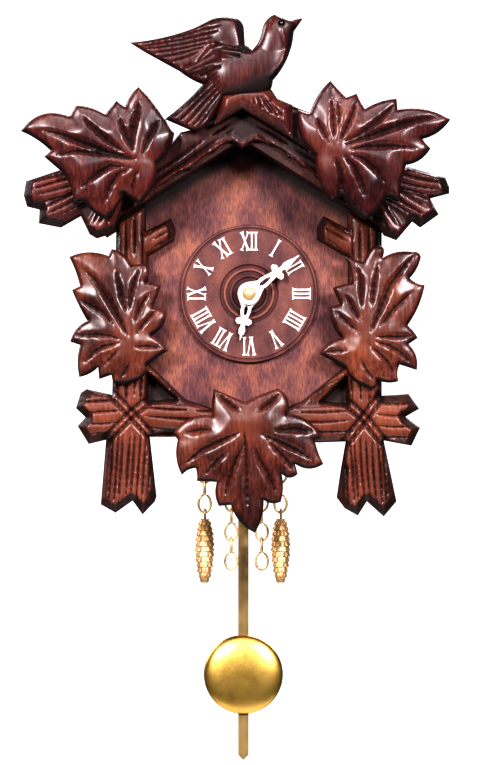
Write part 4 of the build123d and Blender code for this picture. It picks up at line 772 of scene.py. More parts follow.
FASCIA_LIP = [(-33.0, -10.6), (-28.4, -8.2), (-23.8, -3.4), (-16.2, 0.6), (-9.8, 5.4), (-4.9, 8.4), (-2.0, 6.2),
              (1.4, 8.4), (5.5, 7.3), (10.8, 4.0), (14.4, 1.4), (18.8, -1.8), (25.0, -6.0), (32.0, -10.0)]
WIDE_BEVEL = 2.3
BRANCH_BEVEL = 0.6
BRANCH_WALL = 0.30
ROOF_BARK_STAIN, LOW_BARK_STAIN = 0.16, 0.07
BRANCH_SHAPES = {
    "surround_left": dict(
        centre=(0, 0), back=44.0, bulk=5.9, seed=3,
        wide_ends=[3, 4, 14, 15, 16, 17, 18, 20, 21, 22, 23, 24, 25],
        corners=[
            (-38.4, -14.0), (-29.8, -8.6), (-29.8, -16.4), (-22.5, -12.6), (-21.2, -16.0), (-21.5, -19.0),
            (-29.0, -23.5), (-29.8, -54.0), (-18.5, -65.0), (-8.0, -68.5), (-1.6, -69.0),
            (-1.6, -74.5), (-24.2, -74.5), (-28.8, -75.6), (-26.8, -93.2), (-27.3, -94.7),
            (-30.8, -98.4), (-33.7, -94.4), (-38.6, -97.9), (-42.9, -95.5), (-41.4, -76.8),
            (-46.4, -78.0), (-49.6, -72.8), (-47.3, -70.3), (-50.1, -67.6), (-48.7, -63.2),
            (-47.0, -62.1), (-39.6, -63.8),
        ],
        branches=[((-34.4, -12.0), (-34.4, -66.0), 4.6, 2.3), ((-30.0, -20.2), (-21.8, -15.4), 3.2, 2.1),
                  ((-33.4, -73.5), (-35.0, -96.0), 6.6, 1.75), ((-48.6, -70.6), (-36.6, -69.8), 6.2, 3.2),
                  ((-31.0, -70.0), (-5.0, -71.6), 4.2, 2.7), ((-28.5, -56.0), (-9.0, -68.5), 1.7, 9.0)],
        pits=[[(-29.3, -57.6), (-20.8, -65.2), (-29.5, -66.0)]],
        crosses=[[(-39.3, -63.8), (-34.0, -69.3), (-28.8, -74.9)],
                 [(-40.7, -76.2), (-34.0, -69.3), (-28.8, -65.3)]],
    ),
    "surround_right": dict(
        centre=(0, 0), back=44.0, bulk=5.9, seed=8,
        wide_ends=[3, 4, 14, 15, 16, 17, 18, 19, 22, 23, 24, 25, 26],
        corners=[
            (37.8, -16.1), (28.4, -10.3), (28.4, -15.6), (21.5, -12.0), (19.6, -15.0), (19.6, -18.8),
            (28.6, -24.0), (28.6, -55.0), (15.5, -65.5), (6.5, -69.0), (-1.55, -69.0),
            (-1.55, -74.5), (19.9, -77.6), (28.0, -77.3), (26.6, -85.4), (25.4, -93.5),
            (27.7, -96.6), (31.5, -98.7), (34.1, -94.6), (39.0, -99.0), (42.7, -94.6),
            (39.0, -77.0), (47.0, -78.5), (49.5, -73.3), (45.3, -70.1), (49.3, -67.8),
            (46.2, -63.5), (38.4, -64.0),
        ],
        branches=[((33.4, -14.0), (33.4, -66.5), 4.6, 2.3), ((28.6, -20.0), (20.6, -15.2), 3.2, 2.1),
                  ((32.8, -75.0), (34.4, -96.5), 6.6, 1.75), ((48.2, -71.2), (36.0, -70.8), 6.2, 3.2),
                  ((30.5, -71.2), (5.0, -72.0), 4.4, 2.7), ((27.5, -57.0), (8.0, -68.8), 1.7, 9.0)],
        pits=[[(28.1, -58.8), (20.5, -66.0), (28.6, -66.6)]],
        crosses=[[(28.0, -65.8), (33.2, -70.4), (38.6, -77.0)], [(28.0, -77.2), (33.2, -70.4), (37.5, -64.8)]],
    ),
    "roof_log_left": dict(
        centre=(-53.6, -8.4), back=60.0, bulk=5.0, seed=12, wide_ends=[1, 2, 4, 5, 8, 9],
        corners=[
            (-0.3, 8.6), (-9.9, 5.4), (-10.5, 1.4), (-9.6, -1.7), (-6.0, -2.6), (-6.2, -6.5),
            (0.0, -7.7), (5.7, -4.4), (8.2, -9.6), (10.2, -10.8), (14.7, -9.4), (20.0, 4.0),
        ],
        branches=[((-61.8, -6.4), (-46.0, -2.0), 4.4, 2.2), ((-57.6, -12.4), (-42.0, -4.0), 3.0, 2.2),
                  ((-42.4, -17.0), (-36.0, -5.0), 4.0, 2.2)],
    ),
    "roof_log_right": dict(
        centre=(48.4, -8.4), back=60.0, bulk=5.0, seed=15, wide_ends=[1, 2, 5, 6, 8, 9],
        corners=[
            (-3.1, 9.6), (7.4, 6.5), (8.5, 3.7), (8.5, 2.0), (3.1, 0.6), (5.5, -4.0),
            (0.3, -7.7), (-2.0, -6.0), (-6.5, -11.3), (-10.2, -9.9), (-16.0, 4.0),
        ],
        branches=[((55.0, -4.8), (38.0, -1.0), 4.0, 2.2), ((50.2, -13.0), (36.0, -4.0), 3.2, 2.2),
                  ((40.2, -17.6), (33.0, -6.0), 3.6, 2.2)],
    ),
    "gable_trim": dict(
        centre=(0, 0), back=60.0, bulk=3.0, seed=21, wide_ends=[],
        corners=[
            (-33.0, -1.8), (-24.5, 5.0), (-19.5, 11.0), (-8.4, 13.7), (-2.0, 17.6), (32.0, -3.6),
            (32.0, -10.0), (25.0, -6.0, -0.6), (18.8, -1.8, -0.6), (14.4, 1.4, -0.5), (10.8, 4.0, -0.8),
            (5.5, 7.3, -0.5), (1.4, 8.4), (-2.0, 6.2), (-4.9, 8.4, -0.6), (-9.8, 5.4, -0.8),
            (-16.2, 0.6, -0.9), (-23.8, -3.4, -0.9), (-28.4, -8.2), (-33.0, -10.6),
        ],
        branches=[((-30.0, -6.0), (-4.0, 11.2), 3.6, 1.9), ((1.0, 11.0), (30.0, -6.6), 3.2, 2.2)],
    ),
}
for branch_name, branch in BRANCH_SHAPES.items():
    centre = branch["centre"]
    branches = branch["branches"]
    local = [((x0 - centre[0], z0 - centre[1]), (x1 - centre[0], z1 - centre[1]), wide, spacing)
             for (x0, z0), (x1, z1), wide, spacing in branches]
    strokes = bark_strokes(local, branch["seed"])
    branch_wall = branch["bulk"] * BRANCH_WALL
    darker = ROOF_BARK_STAIN if branch_name.startswith("roof") else LOW_BARK_STAIN
    rule = branch_height(branch["bulk"], branch_wall, branches, branch.get("pits", ()),
                         branch.get("crosses", ()), darker)
    if branch_name == "gable_trim":
        rule = fascia_height
    wood = WARM if branch_name.startswith("surround") else CARVED
    piece = relief(branch_name + "_carving", branch["corners"], centre, branch["back"], rule, wood, strokes,
                   {index: WIDE_BEVEL for index in branch["wide_ends"]}, bevel=BRANCH_BEVEL,
                   wall=branch_wall, rounds=1)
    belongs(piece, "case", branch_name)


# ------------------------------------------------------------------ crest and bird
def crest_height(points, rim, edge_gap, cut, near):
    return 3.4 + 1.0 * smoothstep(edge_gap / 1.2), np.full(len(points), 0.72)


def block_height(points, rim, edge_gap, cut, near):
    return np.full(len(points), 10.0), np.full(len(points), 0.8)


def mound_height(points, rim, edge_gap, cut, near):
    tall = 3.0 + 2.4 * smoothstep(edge_gap / 2.6) - cut
    # Painted shade along the rim and in the grass cuts.
    stain_and_shading = 0.42 + 0.3 * (1 - rim) + 0.5 * np.clip(cut / 0.7, 0, 1)
    return tall, np.clip(stain_and_shading, 0, 1)


rail_piece = relief("crest_rail_carving", [
    (-12.8, 12.5), (-9.0, 20.3), (3.4, 20.3), (8.0, 20.0), (17.3, 16.3), (17.3, 5.65),
    (-2.0, 17.55), (-8.4, 13.6),
], (0, 0), ROOF_FRONT, crest_height, CARVED, wall=3.2)
belongs(rail_piece, "case", "crest_rail")
block_piece = relief("crest_block_carving", [
    (-10.0, 9.1), (-10.0, 16.5), (8.0, 16.5), (8.0, 7.85), (-2.0, 14.1),
], (0, 0), 50.0, block_height, CARVED, wall=9.4)
belongs(block_piece, "case", "crest_rail")
mound_piece = relief("crest_mound_carving", [
    (-9.8, 12.6), (-8.6, 21.5), (-3.0, 23.5), (5.6, 23.5), (8.0, 20.0), (12.2, 18.2),
    (12.2, 8.85), (-2.0, 17.2),
], (0, 0), ROOF_FRONT + 4.5, mound_height, CARVED, [
    (0.4, 0.9, [(3.0, 20.4), (5.2, 17.4), (7.4, 14.2)]), (0.4, 0.9, [(1.9, 20.4), (3.2, 18.0), (4.4, 15.9)]),
    (0.4, 0.9, [(4.0, 20.4), (6.6, 16.8), (8.6, 13.9)]), (0.3, 0.7, [(0.6, 20.0), (1.4, 18.2), (1.8, 17.0)]),
    (0.35, 0.8, [(5.2, 20.2), (8.0, 16.6), (9.8, 14.0)]),
], wall=2.6)
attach(mound_piece, "case")


def dome(points, start, end, wide, high, power=0.5):
    """Half-round swelling along a line: high in the middle, falling to nothing at the given half width."""
    gap = segment_distances(points, np.array([start], float), np.array([end], float))[:, 0]
    return high * np.clip(1 - (gap / wide) ** 2, 0, 1) ** power


def plate_of(points, polygon, high, soft=0.9):
    """Raised flat patch inside a polygon with a softened edge."""
    return high * smoothstep(0.5 - polygon_gap(points, polygon) / soft)


BIRD_AT = (-1.5, 28.0)
BIRD_PLANE = 67.2
BIRD_RIM = 0.8
WING_MOST, BODY_MOST = 3.9, 4.2
FORM_BLEND = 0.45
BIRD_FEATHERS = [
    (0.45, 0.75, [(-30.0, 7.6), (-18.0, 9.6), (-6.0, 12.6)]),
    (0.45, 0.8, [(-28.6, 6.6), (-18.0, 8.3), (-7.0, 10.9)]),
    (0.45, 0.8, [(-27.6, 5.9), (-18.0, 7.0), (-9.0, 9.0)]),
    (0.45, 0.8, [(-25.2, 4.8), (-18.0, 5.8), (-9.8, 7.6)]),
    (0.45, 0.8, [(-23.0, 3.6), (-17.0, 4.8), (-11.0, 6.6)]),
    (0.4, 0.7, [(-20.6, 2.2), (-16.0, 3.6), (-12.4, 5.4)]),
    (0.4, 0.7, [(-17.4, 0.8), (-13.0, 2.2), (-8.6, 4.2)]),
    (0.4, 0.7, [(-15.0, -0.6), (-11.0, 1.2), (-6.4, 3.0)]),
    (0.35, 0.7, [(-12.6, -2.0), (-8.6, 0.2), (-3.0, 2.0)]),
    (0.4, 0.8, [(-8.6, 7.4), (-4.0, 6.9), (0.6, 5.2)]), (0.35, 0.6, [(-6.4, 5.6), (-1.6, 5.2), (2.6, 4.4)]),
    (0.35, 0.6, [(-5.4, 4.2), (-0.6, 3.6), (3.2, 2.8)]),
    (0.42, 0.85, [(-21.4, -13.0), (-14.0, -6.2), (-7.6, -1.0)]),
    (0.42, 0.85, [(-20.0, -13.8), (-13.2, -7.2), (-6.8, -1.8)]),
    (0.42, 0.85, [(-18.4, -14.8), (-12.2, -8.4), (-6.2, -2.8)]),
    (0.42, 0.85, [(-16.6, -15.8), (-11.4, -9.8), (-6.0, -4.0)]),
    (0.42, 0.85, [(-14.6, -16.2), (-10.4, -11.0), (-6.0, -5.4)]),
    (0.42, 0.8, [(-12.8, -16.0), (-9.6, -12.0), (-6.6, -7.4)]),
]


def bird_height(points, rim, edge_gap, cut, near):
    """Half thickness of the bird: wing, nearer wing layer, tail, body, neck, head and beak as raised forms."""
    local = points - np.array(BIRD_AT)
    wing = plate_of(local, [(-34, 8), (-14, 13), (-9, 16), (1, 16), (2, 4), (-18, -2), (-30, 4)], 1.5)
    shoulder = dome(local, (-5.2, 9.6), (-4.0, 7.4), 5.4, 1.3, 0.9)
    near_wing = plate_of(local, [(2.6, 5.2), (-6.0, 7.2), (-9.8, 6.2), (-13.0, 2.2), (-18.5, -0.4),
                                 (-11.6, -3.6), (-2.0, -2.0), (3.4, 1.6)], 1.3, 1.0)
    tail = plate_of(local, [(-6.0, 0.0), (-23.5, -14.0), (-15.5, -18.0), (-9.0, -16.0), (-5.0, -6.0)], 2.4, 1.0)
    body = np.maximum(dome(local, (-3.2, -1.4), (7.2, 1.6), 7.6, 4.1),
                      dome(local, (6.4, 1.4), (8.6, 8.8), 5.4, 3.7))
    head = dome(local, (10.6, 12.4), (10.8, 12.2), 3.9, 3.2)
    neck = dome(local, (8.4, 6.0), (10.6, 12.4), 4.0, 2.9)
    beak = dome(local, (12.6, 13.4), (16.4, 14.4), 1.4, 1.2)
    forms = (body, head, neck, beak)
    solid = FORM_BLEND * np.log(sum(np.exp(form / FORM_BLEND) for form in forms) - (len(forms) - 1.0))
    wings = wing + shoulder + near_wing
    tall = np.maximum.reduce([solid, np.minimum(wings, WING_MOST), tail])
    tall = tall * np.clip(edge_gap / 0.9, 0, 1) ** 0.45
    front_edge = plate_of(local, [(-2.4, 15.0), (1.0, 15.0), (1.6, 4.6), (-0.6, 5.6)], 1.0, 0.5)
    tall = np.minimum(tall, BODY_MOST) - cut * (solid < 3.4) - 0.8 * front_edge
    # Painted shade in the feather cuts, along the rim and on the band beside the breast edge.
    stain_and_shading = 0.53 + 0.5 * np.clip(cut / 0.6, 0, 1) * (solid < 3.4) + 0.3 * (1 - rim) + 0.45 * front_edge
    # Painted shade on the lower belly.
    stain_and_shading = stain_and_shading + 0.5 * dome(local, (-4.0, -8.0), (8.5, -3.6), 3.9, 1.0, 1.0)
    breast = np.array([(10.6, 11.4), (11.9, 6.0), (10.6, 1.8), (7.6, -2.0)])
    crease = segment_distances(local, breast[:-1], breast[1:]).min(1)
    # Painted highlight along the breast ridge.
    stain_and_shading = stain_and_shading - 0.3 * np.exp(-(crease / 0.5) ** 2)
    tall = tall + 0.45 * np.exp(-(crease / 0.45) ** 2)
    throat = np.array([(13.6, 11.6), (12.2, 3.0), (7.6, -3.4)])
    throat_gap = segment_distances(local, throat[:-1], throat[1:]).min(1)
    # Painted shade along the throat.
    stain_and_shading = stain_and_shading + 0.5 * np.exp(-(throat_gap / 1.3) ** 2)
    eye_gap = np.sqrt(((local - np.array([10.6, 12.9])) ** 2).sum(1))
    stain_and_shading = stain_and_shading + 0.5 * np.exp(-((eye_gap - 0.9) / 0.35) ** 2)
    return np.maximum(tall, 0.25) + BIRD_RIM, np.clip(stain_and_shading, 0, 1)


bird_piece = relief("bird_carving", [
    (-32.2, 7.8, -0.7), (-13.8, 12.0), (-9.0, 14.4, 0.6), (-1.7, 14.4, 0.5), (0.0, 11.3),
    (0.3, 7.1), (2.5, 5.9, -0.5), (5.1, 11.3, 0.8), (8.8, 15.8), (13.3, 14.1),
    (16.7, 14.7), (14.1, 11.0, 1.3), (8.2, -2.8, 0.9), (5.1, -7.3), (-5.6, -7.6),
    (-7.9, -11.9), (-10.2, -15.5, 0.5), (-15.2, -16.9), (-22.3, -13.8, -0.4), (-11.6, -4.0, 0.3),
    (-18.1, -0.3), (-22.3, 2.0), (-27.9, 5.1),
], BIRD_AT, BIRD_PLANE, bird_height, CARVED, BIRD_FEATHERS, bevel=0.7, step=0.36, two_sided=True, wall=BIRD_RIM)
belongs(bird_piece, "case", "bird")
EYE_AT = (9.1, 40.9)
EYE_STAND_OFFS = {"front": 70.85, "back": 64.6}
EYE_PROFILE = [(0.0, -0.70), (0.55, -0.55), (0.92, -0.15), (0.92, 0.15), (0.55, 0.55), (0.0, 0.70)]
for eye_side, eye_s in EYE_STAND_OFFS.items():
    eye = lathe("bird_eye_" + eye_side, EYE_PROFILE, EYE_AT, EYE, segments=20)
    eye.location = (0.0, -eye_s * MM, 0.0)
    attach(eye, "case")


# ------------------------------------------------------------------ dial, numerals, hands
def placed_at_dial(radius, degrees, turn):
    """Maps (across, along) millimetres at a dial radius, turned clockwise from XII, to x and z."""
    angle = math.radians(degrees)
    tilt = math.radians(turn)
    spot = (DIAL[0] + radius * math.sin(angle), DIAL[1] + radius * math.cos(angle))

    def place(across, along):
        x = across * math.cos(tilt) + along * math.sin(tilt)
        z = -across * math.sin(tilt) + along * math.cos(tilt)
        return spot[0] + x, spot[1] + z
    return place


dial_profile = [(2.3, 44.0), (2.3, 45.3), (3.6, 45.35), (4.0, 44.9), (4.6, 44.9), (5.0, 45.4), (5.5, 45.45),
                (5.9, 45.0), (6.4, 44.95), (6.8, 45.5), (7.3, 45.5), (7.6, 45.05), (8.2, 45.0), (8.6, 45.55)]
for ring in range(10, 29):
    dial_profile.append((ring * 0.52 + 4.0, DIAL_FACE + 0.02 * math.sin(ring * 2.4)))
dial_profile += [(18.7, 45.6), (18.85, 45.2), (19.15, 45.2), (19.3, 45.62), (19.7, 45.58), (19.95, 45.3),
                 (20.0, 45.0), (20.0, 44.0)]
dial_piece = lathe("dial_turned", dial_profile + [(2.3, 44.0)], DIAL, DIAL_WOOD, segments=160, smooth_angle=30)
stain_and_shading_layer = dial_piece.data.attributes.new("stain_and_shading", "FLOAT", "POINT")
stain_and_shading_values = []
# Painted shade: the deeper a point lies below the dial face, in the recesses between the rings, the darker it
# is; the ring between 6.6 and 7.5 mm is lighter.
for vertex in dial_piece.data.vertices:
    depth = DIAL_FACE - (-vertex.co.y / MM)
    away = math.hypot(vertex.co.x / MM - DIAL[0], vertex.co.z / MM - DIAL[1])
    stain_and_shading_values.append(0.5 + min(0.32, max(0.0, depth * 0.5)) * (away > 3.9) - (0.42 if 6.6 < away < 7.5 else 0.0))
stain_and_shading_layer.data.foreach_set("value", np.array(stain_and_shading_values, dtype=np.float32))
belongs(dial_piece, "case", "dial")


def stroke_outline(x0, z0, x1, z1, wide, flare):
    """Outline of a brush-like stroke whose ends flare into serifs."""
    length = math.hypot(x1 - x0, z1 - z0)
    ux, uz = (x1 - x0) / length, (z1 - z0) / length
    shape = [(0.0, flare), (0.10, wide * 0.62), (0.28, wide * 0.5), (0.72, wide * 0.5), (0.90, wide * 0.62),
             (1.0, flare)]
    left = [(x0 + ux * length * t - uz * w, z0 + uz * length * t + ux * w) for t, w in shape]
    right = [(x0 + ux * length * t + uz * w, z0 + uz * length * t - ux * w) for t, w in reversed(shape)]
    return left + right


def raised_prisms(name, outlines, back, thick, material, soften):
    """Flat raised shapes with slightly sloped sides, their tops a little apart where strokes cross."""
    verts, faces = [], []
    for number, outline in enumerate(outlines):
        lift = 0.02 * (number % 3)
        count = len(outline)
        cx = sum(p[0] for p in outline) / count
        cz = sum(p[1] for p in outline) / count
        start = len(verts)
        for level, inset in ((back, 0.0), (back + thick * 0.6, 0.0), (back + thick + lift, soften)):
            for x, z in outline:
                gap = max(math.hypot(cx - x, cz - z), 1e-6)
                verts.append((x + (cx - x) / gap * inset, level, z + (cz - z) / gap * inset))
        for ring in range(2):
            for k in range(count):
                n = (k + 1) % count
                base = start + ring * count
                faces.append([base + k, base + n, base + count + n, base + count + k])
        faces.append([start + k for k in reversed(range(count))])
        faces.append([start + 2 * count + k for k in range(count)])
    return make_object(name, verts, faces, material, 50)


NUMERALS = ["XII", "I", "II", "III", "IIII", "V", "VI", "VII", "VIII", "IX", "X", "XI"]
NUMERAL_R = 15.2
HALF_HIGH = 2.72
LETTER_WIDE = {"I": 1.18, "V": 2.8, "X": 2.8}
numeral_outlines = []
for hour, text in enumerate(NUMERALS):
    place = placed_at_dial(NUMERAL_R, 30 * hour, 30 * hour)
    cursor = -sum(LETTER_WIDE[letter] for letter in text) / 2
    for letter in text:
        middle = cursor + LETTER_WIDE[letter] / 2
        lean = 0.98
        if letter == "I":
            strokes = [(middle, -HALF_HIGH, middle, HALF_HIGH, 0.52, 0.68)]
        elif letter == "V":
            strokes = [(middle, -HALF_HIGH, middle - lean, HALF_HIGH, 0.60, 0.66),
                       (middle, -HALF_HIGH, middle + lean, HALF_HIGH, 0.34, 0.58)]
        else:
            strokes = [(middle + lean, -HALF_HIGH, middle - lean, HALF_HIGH, 0.60, 0.68),
                       (middle - lean, -HALF_HIGH, middle + lean, HALF_HIGH, 0.34, 0.60)]
        for x0, z0, x1, z1, wide, flare in strokes:
            numeral_outlines.append([place(x, z) for x, z in stroke_outline(x0, z0, x1, z1, wide, flare)])
        cursor += LETTER_WIDE[letter]
NUMERAL_SUNK, NUMERAL_THICK, NUMERAL_SOFT = 0.05, 0.26, 0.05
numeral_piece = raised_prisms("dial_numerals_raised", numeral_outlines, DIAL_FACE - NUMERAL_SUNK, NUMERAL_THICK,
                              WHITE, NUMERAL_SOFT)
belongs(numeral_piece, "case", "dial_numerals")


def ring_points(cx, cz, radius, degrees):
    """Points (x, z) round a circle at the given angles."""
    return [(cx + radius * math.cos(math.radians(a)), cz + radius * math.sin(math.radians(a))) for a in degrees]


HAND_THICK = 0.7


def serpentine_hand(name, stand_off, degrees, hole, boss, window, cross, pointer):
    """Pierced carved hand, as a filled outline with its window and centre hole cut through and softened edges.

    window is (low, high, half width, leg), cross (place, half width) and pointer (start, half width, tip).
    """
    window_low, window_high, window_half, leg = window
    cross_at, cross_half = cross
    point_from, point_half, tip = pointer
    side = [(boss * math.sin(math.radians(a)), boss * math.cos(math.radians(a))) for a in range(180, 50, -12)]
    side += [(window_half + leg, window_low + 0.6), (window_half + leg * 1.05, (window_low + window_high) / 2),
             (window_half * 0.8 + leg * 0.8, window_high), (0.95, cross_at - 1.2),
             (cross_half * 0.55, cross_at - 1.35), (cross_half, cross_at - 0.9),
             (cross_half * 1.05, cross_at - 0.1), (cross_half * 0.7, cross_at + 0.75), (0.75, cross_at + 0.55),
             (0.62, point_from - 1.2), (point_half, point_from), (point_half * 0.9, point_from + 1.2),
             (0.34, tip - 1.6), (0.18, tip - 0.3)]
    outer = side + [(0.0, tip)] + [(-x, z) for x, z in reversed(side[1:])]
    hole_loop = ring_points(0, 0, hole, range(0, 360, 15))
    window_side = [(window_half, window_low + 0.9), (window_half * 0.9, window_high - 1.0)]
    window_loop = [(0.0, window_low)] + window_side + [(0.0, window_high)]
    window_loop += [(-x, z) for x, z in reversed(window_side)]
    loops = [outer, hole_loop, window_loop]
    points, edges = [], []
    for loop in loops:
        base = len(points)
        points += loop
        edges += [(base + k, base + (k + 1) % len(loop)) for k in range(len(loop))]
    coords, _, faces, _, _, _ = delaunay_2d_cdt([Vector(p) for p in points], edges, [], 2, 1e-6)
    flat = np.array([tuple(c) for c in coords])
    keep = []
    for face in faces:
        mid = flat[list(face)].mean(0)[None]
        if inside(mid, np.array(outer))[0] and not inside(mid, np.array(hole_loop))[0] \
                and not inside(mid, np.array(window_loop))[0]:
            keep.append(list(face))
    place = placed_at_dial(0.0, 0.0, degrees)
    count = len(flat)
    spots = [place(x, z) for x, z in flat]
    verts = [(x, level, z) for level in (stand_off, stand_off + HAND_THICK) for x, z in spots]
    out = [list(reversed(f)) for f in keep] + [[count + v for v in f] for f in keep]
    out += [[a, b, count + b, count + a] for a, b in bordered_edges(keep)]
    obj = make_object(name, verts, out, HAND, 60)
    modifier = obj.modifiers.new("edge", "BEVEL")
    modifier.width = 0.16 * MM
    modifier.segments = 2
    modifier.limit_method = "ANGLE"
    modifier.angle_limit = math.radians(50)
    return obj


HAND_BOSS_R = 3.3
HOUR_BACK, HOUR_DEGREES, HOUR_HOLE_R = 46.6, 191.0, 2.02
MINUTE_BACK, MINUTE_DEGREES, MINUTE_HOLE_R = 48.0, 52.8, 1.32
hour_piece = serpentine_hand("hour_hand_carved", HOUR_BACK, HOUR_DEGREES, HOUR_HOLE_R, HAND_BOSS_R,
                             (3.5, 6.7, 0.55, 0.95), (8.5, 2.3), (10.6, 0.95, 13.8))
belongs(hour_piece, "hour_hand", "hour_hand")
minute_piece = serpentine_hand("minute_hand_carved", MINUTE_BACK, MINUTE_DEGREES, MINUTE_HOLE_R, HAND_BOSS_R,
                               (3.6, 7.8, 0.55, 0.95), (10.6, 2.45), (13.2, 1.0, 18.3))
belongs(minute_piece, "minute_hand", "minute_hand")
nut_piece = lathe("hand_nut_domed", [
    (0.82, 48.72), (1.62, 48.72), (1.88, 48.85), (1.9, 49.1), (1.78, 49.42), (1.5, 49.72), (1.1, 49.96),
    (0.55, 50.09), (0.0, 50.12),
], DIAL, CHAIN, segments=48, smooth_angle=50)
belongs(nut_piece, "minute_hand", "hand_nut")


# ------------------------------------------------------------------ bob, chains, cones
BOB_AT = (-1.6, -147.3)
BOB_DOME_R, BOB_DOME_BACK, BOB_DOME_HIGH, BOB_STEPS = 11.72, 17.95, 3.0, 24
bob_profile = [(0.0, 17.35), (10.9, 17.35), (11.5, 17.4), (11.8, 17.6), (11.78, BOB_DOME_BACK)]
for step in range(1, BOB_STEPS):
    tilt = math.radians(90 * step / BOB_STEPS)
    bob_profile.append((BOB_DOME_R * math.cos(tilt), BOB_DOME_BACK + BOB_DOME_HIGH * math.sin(tilt) ** 0.92))
bob_profile.append((0.0, BOB_DOME_BACK + BOB_DOME_HIGH))
bob_piece = lathe("pendulum_bob_pressed", bob_profile, BOB_AT, BOB, segments=128, smooth_angle=50)
belongs(bob_piece, "bob", "pendulum_bob")


def wire_tube(path, closed, verts, faces):
    """Adds a round wire along a path of (x, s, z) points to lists of vertices and faces."""
    sides = 10
    path = [Vector(p) for p in path]
    count = len(path)
    start = len(verts)
    normal = None
    for k, point in enumerate(path):
        before = path[(k - 1) % count] if closed or k else point
        after = path[(k + 1) % count] if closed or k < count - 1 else point
        tangent = (after - before).normalized()
        if normal is None:
            normal = tangent.orthogonal().normalized()
        normal = (normal - tangent * normal.dot(tangent)).normalized()
        side = tangent.cross(normal)
        for j in range(sides):
            angle = 2 * math.pi * j / sides
            verts.append(tuple(point + (normal * math.cos(angle) + side * math.sin(angle)) * WIRE_R))
    for k in range(count if closed else count - 1):
        n = (k + 1) % count
        for j in range(sides):
            m = (j + 1) % sides
            here, there = start + k * sides, start + n * sides
            faces.append([here + j, here + m, there + m, there + j])
    if not closed:
        faces.append([start + j for j in reversed(range(sides))])
        faces.append([start + (count - 1) * sides + j for j in range(sides)])


WIRE_R = 0.36
HOOK_TOP = -76.0
RING_R = 2.0
RING_Z = HOOK_TOP - 3.4
CAD_WIRE = 0.7
LINK_GAP = 0.25
UPPER_HIGH, LOWER_HIGH, UPPER_WIDE, LOWER_WIDE = 5.1, 5.9, 2.9, 4.35
CHAIN_TOP = RING_Z - RING_R + CAD_WIRE + LINK_GAP + CAD_WIRE
LINK_PITCH = UPPER_HIGH + LOWER_HIGH - 3 * CAD_WIRE - LINK_GAP


def link_path(x, s, top):
    """Closed wire of one link: a narrow upper loop across the wall, half twisted into a wider lower loop."""
    upper_mid = top - UPPER_HIGH / 2
    lower_mid = top - UPPER_HIGH + CAD_WIRE - LOWER_HIGH / 2
    path = []
    for k in range(20):
        angle = math.radians(-60 + 300 * k / 19)
        half = UPPER_WIDE / 2 - WIRE_R
        path.append((x + 0.10 * math.sin(angle * 2), s + half * math.cos(angle),
                     upper_mid + (UPPER_HIGH / 2 - WIRE_R) * math.sin(angle)))
    for k in range(24):
        angle = math.radians(118 + 304 * k / 23)
        half = LOWER_WIDE / 2 - WIRE_R
        path.append((x + half * math.cos(angle), s + 0.10 * math.sin(angle),
                     lower_mid + (LOWER_HIGH / 2 - WIRE_R) * math.sin(angle)))
    return path


CONE_PLACES = {"left": (-13.0, 33.0), "right": (9.3, 33.0)}
BARE_PLACES = {"left": (-5.2, 25.0), "right": (3.8, 25.0)}
for kind, places, links in (("cone", CONE_PLACES, 2), ("bare", BARE_PLACES, 4)):
    for hand_side, (x, s) in places.items():
        verts, faces = [], []
        for link in range(links):
            wire_tube(link_path(x, s, CHAIN_TOP - LINK_PITCH * link), True, verts, faces)
        chain_name = f"chain_{hand_side}_{kind}"
        chain_piece = make_object(chain_name + "_links", verts, faces, CHAIN, 60)
        belongs(chain_piece, chain_name, chain_name)

verts, faces = [], []
for x, s in list(CONE_PLACES.values()) + list(BARE_PLACES.values()):
    ring = [(rx, s, rz) for rx, rz in ring_points(x, RING_Z, RING_R - WIRE_R, range(100, 450, 14))]
    wire_tube([(x, s, HOOK_TOP + 0.2), (x, s, RING_Z + RING_R - 0.2)] + ring, False, verts, faces)
hook_piece = make_object("chain_hooks_wire", verts, faces, CHAIN, 60)
belongs(hook_piece, "case", "chain_hooks")

CONE_TIP, CONE_R = -118.9, 3.15
CONE_EYE_HIGH = 3.4
CONE_HANG = CHAIN_TOP - LINK_PITCH - UPPER_HIGH + CAD_WIRE - LOWER_HIGH + CAD_WIRE + LINK_GAP
CONE_TOP = CONE_HANG + CAD_WIRE - CONE_EYE_HIGH + 0.2
SCALE_ROWS, SCALES_ROUND, RINGS_PER_SCALE = 12, 9, 8


def cone_radius(share):
    """Body radius of a cone from its tip (0) to its top (1), before the scales."""
    return (CONE_R - 0.42) * math.sin(math.pi * (0.10 + 0.80 * share ** 1.2)) ** 0.65


